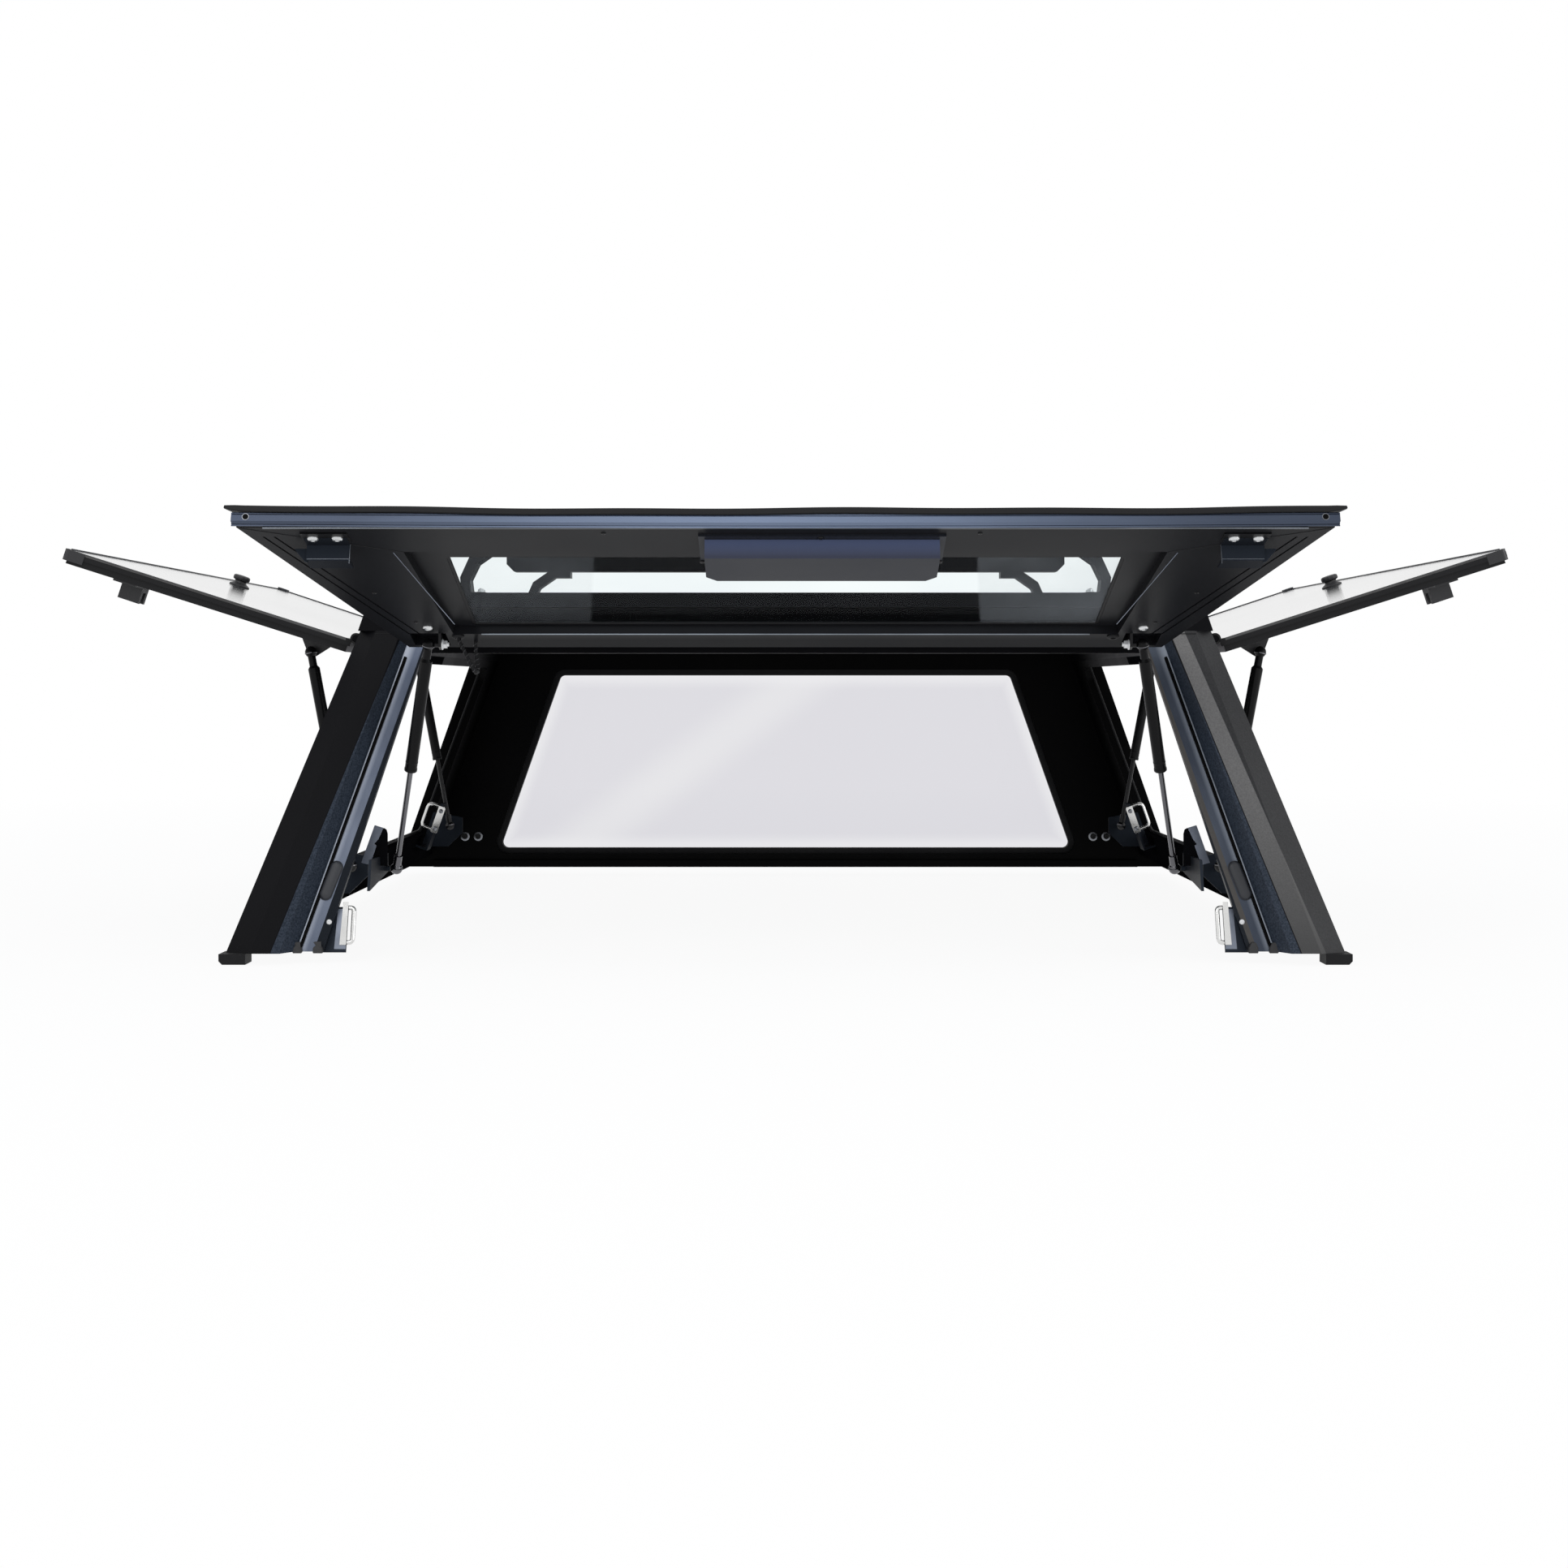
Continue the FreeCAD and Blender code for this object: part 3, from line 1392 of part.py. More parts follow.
def rear_striker():
    """A striker beside the closed rear latch, and its plate behind the post's flange."""
    end = REAR_LONG - d.latch_end_in
    start = end - d.latch_long
    across = rear_edge_half(end) - d.latch_x_in + d.latch_wide / 2 + d.striker_radius * 2
    foot = across + d.striker_over
    top_n = rear_plane(d.rear_landing_deep + d.landing_thick)
    middle_n = top_n - d.plate_thick / 2
    wire = bent_wire("RearStriker", [
        closed_rear_point(foot, start, middle_n), closed_rear_point(across, start, middle_n),
        closed_rear_point(across, end, middle_n), closed_rear_point(foot, end, middle_n)])
    plate = new_body("RearStrikerPlate")
    over = d.striker_over
    profile = sketch(plate, "RearStrikerOutline", "XY", [[
        (foot, -end - over), (foot + d.striker_plate_wide, -end - over),
        (foot + d.striker_plate_wide, over - start), (foot, over - start)]], top_n - d.plate_thick)
    pad(plate, profile, d.plate_thick, "RearStrikerSheet")
    place_closed_rear(plate)
    return fuse("RearStrikerWire", wire), plate


def strikers():
    wires, plates = [], []
    for wire, plate in (side_striker("rear"), side_striker("front"), rear_striker()):
        wires.append(wire)
        plates.append(plate)
    for label, right in (("striker_wires", wires), ("striker_plates", plates)):
        keep(group(label, right + [mirror(piece, piece.Label + "Left") for piece in right]))


strikers()


# Rubber feet and plugs on the rear posts

def corner_feet():
    body = new_body("CornerFoot")
    out = d.base_half + d.foot_over
    inner = out - d.foot_wide
    drop = -d.foot_drop
    profile = sketch(body, "FootSection", "XZ", [[
        (out, 0), (inner, 0), (inner, drop), (out - d.foot_over, drop), (out, drop + d.foot_over)]])
    pad(body, profile, d.foot_wide, "FootBlock", reverse=True)
    place(body, (0, -d.tail - d.foot_over, 0))
    return group("corner_feet", [body, mirror(body, "CornerFootLeft")])


def post_plugs():
    """Oval plugs on the posts' seal flanges, in line with the slope of the post."""
    body = new_body("PostPlug")
    face_n = rear_plane(d.rear_landing_deep)
    middle_x = skin_x(d.plug_z) - d.plug_in
    middle_y = face_n * RAKE * -1 - (HINGE_Z - d.plug_z) * RAKE_LONG
    slant = LEAN / RAKE_LONG
    long = root(1 + slant * slant)
    corners = []
    for up, out in ((-1, -1), (-1, 1), (1, 1), (1, -1)):
        along = d.plug_long / 2 * up
        across = d.plug_wide / 2 * out
        corners.append((middle_x + across / long - along * slant / long,
                        middle_y + along / long + across * slant / long))
    profile = sketch(body, "PlugOutline", "XY", [corners], face_n)
    block = pad(body, profile, d.plug_high, "PlugPad")
    round_edges(body, block, d.plug_wide * 0.49, "PlugEnds", near(corners))
    place_closed_rear(body)
    return group("post_plugs", [body, mirror(body, "PostPlugLeft")])


keep(corner_feet())
keep(post_plugs())


# Knobs on the side doors

def side_knob():
    """A mushroom knob with a wide base, a neck and a flat cap."""
    reach = d.knob_reach
    high = d.knob_high
    body = turned("side_knob_right", [
        (0, DOOR_TOP), (d.knob_base, DOOR_TOP), (d.knob_base, DOOR_TOP + high * 0.1),
        (d.knob_neck, DOOR_TOP + high * 0.3), (d.knob_neck, DOOR_TOP + high * 0.55),
        (d.knob_cap, DOOR_TOP + high * 0.7), (d.knob_cap, DOOR_TOP + high * 0.93),
        (d.knob_cap * 0.8, DOOR_TOP + high), (0, DOOR_TOP + high),
    ])
    lift, turn = sine(d.side_open_angle), cosine(d.side_open_angle)
    for letter, number in zip("xyz", (HINGE_X + reach * turn, -d.knob_y, HINGE_Z + reach * lift)):
        bind(body, f"Placement.Base.{letter}", number)
    for letter, number in zip("xyz", (0, 1, 0)):
        bind(body, f"Placement.Rotation.Axis.{letter}", number)
    body.setExpression("Placement.Rotation.Angle", f"0 - {d.side_open_angle.text}")
    return body


keep_pair(side_knob(), "side_knob_left")


# Roof rack: two bars on curved arms from feet at the roof's edges

def rack_arms():
    """Four curved arms with feet."""
    arms = []
    for name, rack_y in (("Rear", RACK_REAR_Y), ("Front", -d.rack_front_y)):
        body = new_body(f"RackArm{name}")
        foot = CROWN_HALF + d.rack_foot_out
        cap = foot - d.rack_cap_run
        thick = d.rack_arm_thick
        middle = (foot + cap) / 2
        rise = d.rack_bar_rise
        bar_z = CROWN_Z + rise
        loop = [
            (foot - thick * 3, CROWN_Z), (CROWN_HALF, CROWN_Z),
            (foot, CROWN_Z - (foot - CROWN_HALF) * ROOF_FALL),
            (foot + thick / 4, CROWN_Z + rise * 0.35), (foot - thick, CROWN_Z + rise * 0.75),
            (middle, bar_z), (cap, bar_z), (cap, bar_z - thick),
            (middle - thick, bar_z - thick), (foot - thick * 2, CROWN_Z + rise * 0.6),
            (foot - thick, CROWN_Z + rise * 0.3), (foot - thick * 1.2, CROWN_Z + thick / 2),
            (foot - thick * 3, CROWN_Z + thick / 2),
        ]
        profile = sketch(body, f"RackArm{name}Side", "XZ", [loop])
        pad(body, profile, d.rack_arm_wide, f"RackArm{name}Bend", both=True)
        place(body, (0, rack_y, 0))
        arms += [body, mirror(body, f"RackArm{name}Left")]
    return group("rack_arms", arms)


ROOF_FALL = d.crown_rise / d.crown_in


def rack_bar(label, rack_y):
    body = new_body(label)
    half = CROWN_HALF + d.rack_foot_out + d.rack_bar_over
    low = CROWN_Z + d.rack_bar_rise
    high = low + d.rack_bar_high
    cut_in = d.rack_bar_high / 2
    loop = [(-half + cut_in, low), (half - cut_in, low), (half, low + cut_in), (half, high),
            (-half, high), (-half, low + cut_in)]
    profile = sketch(body, label + "Front", "XZ", [loop])
    pad(body, profile, d.rack_bar_wide, label + "Beam", both=True)
    place(body, (0, rack_y, 0))
    return body


keep(rack_arms())
keep(rack_bar("rack_bar_rear", RACK_REAR_Y))
keep(rack_bar("rack_bar_front", -d.rack_front_y))


# Build, test and write

doc.recompute()
bad = [o.Label for o in doc.Objects if "Invalid" in o.State or "Error" in o.State]
if bad:
    raise RuntimeError(f"failed features: {bad}")
for label, thing in nodes.items():
    if thing.Shape.isNull() or not thing.Shape.isValid() or thing.Shape.Volume <= 0:
        raise RuntimeError(f"bad shape: {label}")
os.makedirs("parts", exist_ok=True)
for label, thing in nodes.items():
    thing.Shape.exportStep(f"parts/{label}.step")
print(len(nodes), "nodes")
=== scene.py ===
import bpy
import math
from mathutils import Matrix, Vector


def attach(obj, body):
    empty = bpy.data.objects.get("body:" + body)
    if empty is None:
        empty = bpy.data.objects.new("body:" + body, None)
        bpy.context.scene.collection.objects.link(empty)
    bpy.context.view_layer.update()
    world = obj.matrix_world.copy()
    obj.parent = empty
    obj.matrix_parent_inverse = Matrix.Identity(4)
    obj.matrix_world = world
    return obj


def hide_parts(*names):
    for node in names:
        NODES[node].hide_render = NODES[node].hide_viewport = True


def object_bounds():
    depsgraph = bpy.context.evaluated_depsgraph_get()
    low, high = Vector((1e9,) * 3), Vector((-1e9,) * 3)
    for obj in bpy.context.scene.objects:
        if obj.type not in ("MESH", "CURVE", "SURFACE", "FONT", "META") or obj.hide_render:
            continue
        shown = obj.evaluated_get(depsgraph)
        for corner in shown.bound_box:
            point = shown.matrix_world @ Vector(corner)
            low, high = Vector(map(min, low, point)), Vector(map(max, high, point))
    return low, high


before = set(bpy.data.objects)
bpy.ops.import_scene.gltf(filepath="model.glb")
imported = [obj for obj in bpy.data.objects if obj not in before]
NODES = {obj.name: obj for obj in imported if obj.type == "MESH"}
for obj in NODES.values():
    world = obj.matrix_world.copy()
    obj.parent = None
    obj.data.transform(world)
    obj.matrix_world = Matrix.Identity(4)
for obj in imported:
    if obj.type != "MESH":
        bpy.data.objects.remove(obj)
box_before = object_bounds()

# The photograph's own camera: behind the canopy, level, in metres.
CAMERA_PLACE = (0.0, -4.631, 0.381)
CAMERA_LENS = 50.25
SENSOR = 36.0
SHIFT_X = -0.001
SHIFT_Y = -0.0626

# The shell's lean and rake, and the hinge lines, as in the solids
LEAN, RAKE = 0.163 / 0.463, 0.149 / 0.463
LEAN_LONG = math.hypot(1, LEAN)
BASE_HALF, TAIL, EAVE_Z = 0.800, 1.520, 0.463
HINGE_X, HINGE_Y, HINGE_Z = 0.647, -1.381, 0.452
REAR_OPEN, SIDE_OPEN = math.radians(18.1), math.radians(18.4)
SIDES = (("left", -1), ("right", 1))
REAR_UNDER, SIDE_UNDER = -0.022, -0.024


def skin_x(z):
    return BASE_HALF - LEAN * z


def tail_y(z):
    return RAKE * z - TAIL


def rear(x, s, n):
    """A point of the open rear door: across, away from the hinge, outward."""
    c, d = math.cos(REAR_OPEN), math.sin(REAR_OPEN)
    return Vector((x, HINGE_Y - s * c + n * d, HINGE_Z + s * d + n * c))


def side(sign, s, y, n):
    """A point of an open side door."""
    c, d = math.cos(SIDE_OPEN), math.sin(SIDE_OPEN)
    return Vector((sign * (HINGE_X + s * c - n * d), y, HINGE_Z + s * d + n * c))


def closed_side(sign, s, y, n):
    """A point in the closed side door's own frame."""
    down, out = 1 / LEAN_LONG, LEAN / LEAN_LONG
    return Vector((sign * (HINGE_X + s * out + n * down), y, HINGE_Z - s * down + n * out))


def rear_half(s):
    near, far = skin_x(HINGE_Z) - 0.094, BASE_HALF - 0.102
    return near + (far - near) * s / 0.487


REAR_IN = rear(0, 0, -1) - rear(0, 0, 0)
REAR_OUT = rear(0, 0, 1) - rear(0, 0, 0)
REAR_AWAY = rear(0, 1, 0) - rear(0, 0, 0)
BACK = (0, -1, 0)


def side_out(sign):
    """The outward way of an open side door."""
    return side(sign, 0, 0, 1) - side(sign, 0, 0, 0)


def side_edge(s):
    """Where a side door's raked rear edge lies, at a reach from its hinge."""
    return tail_y(HINGE_Z) + 0.039 - RAKE / LEAN_LONG * s


# Materials

class Net:
    """A node tree, with short calls for the sums and mixes that a surface needs."""

    def __init__(self, tree):
        self.tree = tree

    def feed(self, socket, source):
        """Give a socket a number, a colour or another node's result."""
        if isinstance(source, tuple):
            socket.default_value = (*source, 1.0)
        elif isinstance(source, (int, float)):
            socket.default_value = source
        else:
            self.tree.links.new(source, socket)

    def give(self, node, **inputs):
        for name, source in inputs.items():
            self.feed(node.inputs[name.replace("_", " ")], source)
        return node

    def part(self, kind, **inputs):
        return self.give(self.tree.nodes.new("ShaderNode" + kind), **inputs)

    def coat(self, **inputs):
        return self.give(self.tree.nodes["Principled BSDF"], **inputs)

    def tone(self):
        """What colours the coat so far."""
        return self.coat().inputs["Base Color"].links[0].from_socket

    def show(self, shader):
        self.part("OutputMaterial", Surface=shader.outputs[0])

    def maths(self, kind, first, second=0.0):
        made = self.part("Math")
        made.operation = kind
        self.feed(made.inputs[0], first)
        self.feed(made.inputs[1], second)
        return made.outputs[0]

    def add(self, first, second):
        return self.maths("ADD", first, second)

    def less(self, first, second):
        return self.maths("SUBTRACT", first, second)

    def times(self, first, second):
        return self.maths("MULTIPLY", first, second)

    def over(self, first, second):
        return self.maths("GREATER_THAN", first, second)

    def under(self, first, second):
        return self.maths("LESS_THAN", first, second)

    def ramp(self, source, start, end, low=0.0, high=1.0):
        """A value taken from one range to another and held at its ends."""
        made = self.part("MapRange", Value=source, From_Min=start, From_Max=end, To_Min=low, To_Max=high)
        return made.outputs[0]

    def soft(self, source, start, end):
        result = self.ramp(source, start, end)
        result.node.interpolation_type = "SMOOTHSTEP"
        return result

    def noise(self, scale, detail=3.0, stretch=None):
        source = self.part("TexCoord").outputs["Object"]
        if stretch:
            mapping = self.part("Mapping", Vector=source)
            mapping.inputs["Scale"].default_value = stretch
            source = mapping.outputs["Vector"]
        return self.part("TexNoise", Scale=scale, Detail=detail, Vector=source).outputs["Fac"]

    def cloud(self, low, high, *noise):
        """A noise whose middle range is taken from low to high."""
        return self.ramp(self.noise(*noise), 0.3, 0.7, low, high)

    def place(self, kind="Object"):
        """The three parts of a point's place, or of its normal."""
        split = self.part("SeparateXYZ")
        self.feed(split.inputs[0], self.part("TexCoord").outputs[kind])
        return split.outputs

    def mix(self, factor, first, second):
        """A colour between two, each a colour or a result."""
        made = self.part("Mix")
        made.data_type = "RGBA"
        for index, source in ((0, factor), (6, first), (7, second)):
            self.feed(made.inputs[index], source)
        return made.outputs[2]

    def blend(self, factor, first, second):
        """A shader between two."""
        made = self.part("MixShader")
        for socket, source in zip(made.inputs, (factor, first.outputs[0], second.outputs[0])):
            self.feed(socket, source)
        return made

    def mirror(self, ior):
        """The mirror share of a pane's near face; its far face adds none."""
        near = self.less(1.0, self.part("NewGeometry").outputs["Backfacing"])
        return self.times(self.part("Fresnel", IOR=ior).outputs[0], near)

    def seen(self):
        """One for the rays that should find plain white: camera, glossy and transmission."""
        rays = self.part("LightPath").outputs
        first = self.maths("MAXIMUM", rays["Is Camera Ray"], rays["Is Glossy Ray"])
        return self.maths("MAXIMUM", first, rays["Is Transmission Ray"])


def material(name, empty=True):
    made = bpy.data.materials.new(name)
    made.use_nodes = True
    if empty:
        made.node_tree.nodes.clear()
    return made, Net(made.node_tree)


def scaled(color, *shares):
    """A colour times one share, or times a share for each channel."""
    if len(shares) == 1:
        shares = shares * 3
    return tuple(min(1.0, c * k) for c, k in zip(color, shares))


def surface(name, color, rough, metallic=0.0, specular=0.5, grain=900.0, bump=0.08, blotch=7.0,
            spread=0.18, edge=1.5, rough_spread=0.12, stretch=None):
    """A surface with blotches of tone and gloss, a fine grain and a painted sheen that makes it paler where
    seen at a grazing angle.
    """
    made, net = material(name, empty=False)
    cloud = net.noise(blotch, 4.0, stretch)
    tone = net.mix(net.ramp(cloud, 0.3, 0.7), scaled(color, 1 - spread), scaled(color, 1 + spread))
    # Painted sheen: the colour is taken paler where the surface is seen at a grazing angle.
    graze = net.part("LayerWeight", Blend=0.2)
    tone = net.mix(graze.outputs["Facing"], tone, scaled(color, edge))
    gloss = net.ramp(cloud, 0.3, 0.7, rough - rough_spread / 2, rough + rough_spread / 2)
    relief = net.part("Bump", Strength=bump, Distance=0.0006, Height=net.noise(grain, 2.0))
    net.coat(Base_Color=tone, Roughness=gloss, Metallic=metallic, Specular_IOR_Level=specular,
             Normal=relief.outputs["Normal"])
    return made


def post_surface():
    """Black folded faces, and a painted blue-grey sheen from the step inward; the right post is painted
    paler, with a lit facet and a shaded facet, as painted light.
    """
    made = surface("post_coat", (0.005, 0.005, 0.006), 0.42, bump=0.22, grain=650.0)
    net = Net(made.node_tree)
    x, _, z = net.place()
    inset = net.less(BASE_HALF, net.add(net.maths("ABSOLUTE", x), net.times(z, LEAN)))
    edge_low, edge_top = 0.0975, 0.0755

    def line(extra):
        """The flange's edge line, moved inward."""
        return net.less(edge_low + extra, net.times(z, (edge_low - edge_top) / EAVE_Z))

    inner = net.over(inset, 0.0655)
    flat, deep = net.over(inset, line(0.0)), net.over(inset, line(0.0255))
    seam = net.times(inner, net.under(inset, 0.0670))
    right = net.over(x, 0.0)
    speckle = net.cloud(0.0, 1.0, 420.0)
    # Painted light on the right post's outer faces: a paler lit facet, darker towards the bottom, beside a
    # painted shaded facet.
    grey = net.mix(speckle, (0.135, 0.132, 0.129), (0.185, 0.181, 0.177))
    grey = net.mix(net.ramp(z, 0.25, 0.0), grey, (0.070, 0.069, 0.068))
    turn = net.ramp(net.less(inset, net.times(z, 0.028)), 0.0300, 0.0312)
    shade = net.mix(speckle, (0.030, 0.030, 0.031), (0.042, 0.042, 0.043))
    outer = net.mix(right, net.tone(), net.mix(turn, shade, grey))
    # The flanges' painted sheen, paler near the flange's edge line as a painted highlight; the left post's
    # sheen is painted brighter.
    cloud = net.cloud(0.0, 1.0, 12.0, 4.0, (1, 1, 0.35))
    across = net.ramp(net.less(inset, line(0.0)), 0.003, 0.016)
    left_sheen = net.mix(cloud, (0.078, 0.094, 0.134), (0.155, 0.178, 0.230))
    left_sheen = net.mix(across, (0.34, 0.37, 0.43), left_sheen)
    right_sheen = net.mix(cloud, (0.040, 0.048, 0.068), (0.080, 0.094, 0.122))
    right_sheen = net.mix(across, (0.27, 0.30, 0.35), right_sheen)
    sheen = net.mix(right, left_sheen, right_sheen)
    # The step gets a darker painted sheen; on the right post a painted pale strip lies along the flange's
    # inner side, with a near-black return beyond.
    step = net.mix(speckle, (0.014, 0.020, 0.030), (0.048, 0.060, 0.082))
    strip = net.times(right, net.under(inset, line(0.0335)))
    inner_edge = net.mix(strip, (0.012, 0.015, 0.020), (0.090, 0.084, 0.078))
    sheen = net.mix(flat, step, net.mix(deep, sheen, inner_edge))
    sheen = net.mix(seam, sheen, (0.002, 0.002, 0.003))
    net.coat(Base_Color=net.mix(inner, outer, sheen),
             Metallic=net.times(flat, net.less(0.70, net.times(deep, 0.70))),
             Specular_IOR_Level=net.add(0.06, net.times(right, 0.06)))
    return made


def panel_surface():
    """The door's inner coat, darker along the hinge."""
    made = surface("panel_coat", (0.0118, 0.0120, 0.0135), 0.34, specular=0.04, bump=0.10,
                   grain=650.0, blotch=4.0)
    net = Net(made.node_tree)
    _, y, z = net.place()
    back = net.times(net.less(HINGE_Y, y), math.cos(REAR_OPEN))
    up = net.times(net.less(z, HINGE_Z), math.sin(REAR_OPEN))
    net.coat(Specular_IOR_Level=net.ramp(net.add(back, up), 0.055, 0.100, 0.010, 0.038))
    return made


def rail_surface():
    """Blue-grey anodised metal with a painted sheen: brighter at mid length as a painted highlight, with
    streaks of painted sheen along it.
    """
    made = surface("rail_metal", (0.08, 0.10, 0.15), 0.34, metallic=0.85, bump=0.04, edge=1.1,
                   stretch=(0.2, 1, 1))
    net = Net(made.node_tree)
    # Painted highlight: the colour is brighter at mid length, with streaks of painted sheen.
    offset = net.less(net.place()[0], 0.09)
    middle = net.ramp(net.maths("ABSOLUTE", offset), 0.66, 0.12)
    streaks = net.cloud(-0.22, 0.22, 9.0, 4.0, (0.25, 1, 3))
    share = net.maths("MAXIMUM", 0.0, net.add(middle, streaks))
    net.coat(Base_Color=net.mix(share, (0.044, 0.055, 0.082), (0.120, 0.152, 0.222)))
    return made


def fold_surface(name, under, front, specular, depth=0.0):
    """A folded part with painted light: painted shade on the side that faces down and a paler, painted lit
    tone on its front flank.
    """
    made = surface(name, under, 0.40, specular=specular, grain=700.0, bump=0.12, blotch=5.0)
    net = Net(made.node_tree)
    # Painted light: faces turned towards the back get the paler front tone, and the rest keeps the darker
    # tone as painted shade.
    share, pale = net.ramp(net.place("Normal")[1], -0.45, -0.85), front
    if depth:
        _, y, z = net.place()
        level = net.add(net.times(net.add(y, -HINGE_Y), math.sin(REAR_OPEN)),
                        net.times(net.less(z, HINGE_Z), math.cos(REAR_OPEN)))
        share = net.times(share, net.under(level, REAR_UNDER - 0.004))
        # A painted gradient of light over the flank: paler near the plate, darker towards the fold.
        glow = net.ramp(level, REAR_UNDER - depth * 1.05, REAR_UNDER - depth * 0.35)
        pale = net.mix(glow, scaled(front, 0.85, 0.82, 0.92), scaled(front, 1.75, 1.90, 2.45))
    net.coat(Base_Color=net.mix(share, net.tone(), pale))
    return made


def tinted_glass(name, tint, haze):
    """A clear pane: tinted see-through, glossier at a low angle, with faint clouds of haze, and a painted
    reflection of draped cloth towards its ends, lighter on the right.
    """
    made, net = material(name)
    clear = net.part("BsdfTransparent", Color=net.mix(net.cloud(0.0, 1.0, 3.0), tint, scaled(tint, 1.05)))
    gloss = net.part("BsdfGlossy", Roughness=0.02, Color=(0.9, 0.92, 0.95))
    dust_and_reflection = net.part("BsdfDiffuse", Color=(0.55, 0.57, 0.6))
    x, y, _ = net.place()
    ends = net.ramp(net.less(net.maths("ABSOLUTE", x), net.times(y, 0.105)), 0.433, 0.438)
    # Painted reflection of draped cloth on the pane's outer parts, painted lighter on the right side; the
    # diffuse shader also carries the faint real haze.
    lighter = net.add(1.0, net.times(net.over(x, 0.0), 1.9))
    reflected_folds = net.times(net.cloud(haze * 0.8, haze * 3.4, 5.0, 5.0, (1, 0.5, 1)), lighter)
    grime = net.cloud(haze * 0.02, haze * 0.15, 9.0, 5.0)
    pane = net.blend(net.mirror(1.03), clear, gloss)
    net.show(net.blend(net.add(grime, net.times(ends, reflected_folds)), pane, dust_and_reflection))
    return made


def pane_surface():
    """The pale front pane: light comes through it, with one soft diagonal streak of painted highlight and
    painted paler light near its edges.
    """
    made, net = material("pale_pane")
    x, _, z = net.place()
    # Painted highlight: a soft diagonal streak across the pane.
    along = net.less(z, net.times(x, 0.74))
    streak = net.times(net.soft(along, 0.27, 0.365), net.soft(along, 0.47, 0.375))
    tone = net.mix(net.times(streak, 0.8), (0.856, 0.852, 0.874), (0.900, 0.898, 0.908))
    # Painted light: the tone turns paler near the pane's edges.
    lean_in = net.less(0.617, net.add(net.maths("ABSOLUTE", x), net.times(z, LEAN)))
    near = net.maths("MINIMUM", net.less(z, 0.039), net.less(0.403, z))
    near = net.maths("MINIMUM", lean_in, near)
    tone = net.mix(net.times(net.soft(near, 0.034, 0.0), 0.75), tone, (0.925, 0.924, 0.932))
    tone = net.mix(net.cloud(0.0, 0.10, 2.5, 2.0), tone, (0.83, 0.826, 0.858))
    clear = net.part("BsdfTransparent", Color=tone)
    net.show(net.blend(net.mirror(1.15), clear, net.part("BsdfGlossy", Roughness=0.06)))
    return made


COAT = surface("satin_coat", (0.007, 0.007, 0.008), 0.38, specular=0.22, bump=0.20, grain=650.0)
PANEL = panel_surface()
HEADER = surface("header_coat", (0.005, 0.005, 0.006), 0.40, specular=0.035, bump=0.15, grain=650.0)
WALL = surface("inner_coat", (0.0016, 0.0016, 0.0018), 0.5, specular=0.05, bump=0.12, edge=1.2)
ROOF = surface("roof_coat", (0.004, 0.004, 0.005), 0.45, specular=0.06, bump=0.2, grain=650.0)
RAIL = rail_surface()
SILL = surface("sill_coat", (0.006, 0.006, 0.007), 0.42, specular=0.0, bump=0.2, grain=650.0)
# A pale blue-grey sheet whose paleness is a painted sheen; it draws painted highlight lines and the painted
# lit faces of plates.
PALE_SHEEN = surface("pale_sheen_sheet", (0.21, 0.235, 0.29), 0.36, metallic=0.55, bump=0.05, blotch=18.0, spread=0.3)
BRACKET = fold_surface("bracket_coat", (0.012, 0.014, 0.018), (0.028, 0.034, 0.044), 0.025)
RUBBER = surface("rubber", (0.009, 0.009, 0.010), 0.62, specular=0.20, grain=500.0, bump=0.12)
PLUG = surface("plug_rubber", (0.020, 0.022, 0.028), 0.42, specular=0.5, grain=500.0, bump=0.10)
PLASTIC = surface("moulded_black", (0.017, 0.017, 0.019), 0.45, grain=800.0, bump=0.15)
COVER = fold_surface("cover_plastic", (0.022, 0.024, 0.031), (0.062, 0.071, 0.096), 0.08,
                     depth=0.026)
TUBE = surface("strut_tube_paint", (0.0045, 0.0045, 0.005), 0.28, specular=0.13, grain=300.0, bump=0.03)
ROD = surface("dark_rod", (0.13, 0.13, 0.14), 0.25, metallic=1.0, bump=0.02, stretch=(1, 1, 0.1))
CHROME = surface("bright_plate", (0.70, 0.70, 0.69), 0.16, metallic=0.9, bump=0.02, blotch=20.0, spread=0.08)
STEEL = surface("grey_washer", (0.22, 0.23, 0.25), 0.32, metallic=0.8, bump=0.05, blotch=60.0, spread=0.2)
BLACK_ROD = surface("black_rod", (0.006, 0.006, 0.007), 0.25, specular=0.25, bump=0.02)
LINE = surface("edge_shine", (0.20, 0.22, 0.25), 0.35, metallic=0.5, specular=0.4, blotch=12.0, spread=0.3)
# A painted highlight line: the lit ledge between a side door's tiers.
LEDGE_SHINE = surface("lit_ledge_line", (0.085, 0.082, 0.080), 0.5, specular=0.2, blotch=30.0, spread=0.3)
ZINC = surface("zinc_plate", (0.66, 0.67, 0.68), 0.30, metallic=0.9, bump=0.05, blotch=60.0, spread=0.15)
PALE = surface("pale_zinc", (0.78, 0.78, 0.78), 0.35, metallic=0.35, bump=0.05, blotch=60.0, spread=0.1)
SIDE_GLASS = surface("privacy_glass", (0.012, 0.013, 0.015), 0.13, metallic=0.35, specular=1.0, grain=3.0,
                     bump=0.0, rough_spread=0.03, blotch=2.0)
Net(SIDE_GLASS.node_tree).coat(Coat_Weight=0.68, Coat_Roughness=0.13)
REAR_GLASS = tinted_glass("tinted_pane", (0.925, 0.955, 0.962), haze=0.02)
FRONT_PANE = pane_surface()
POST = post_surface()

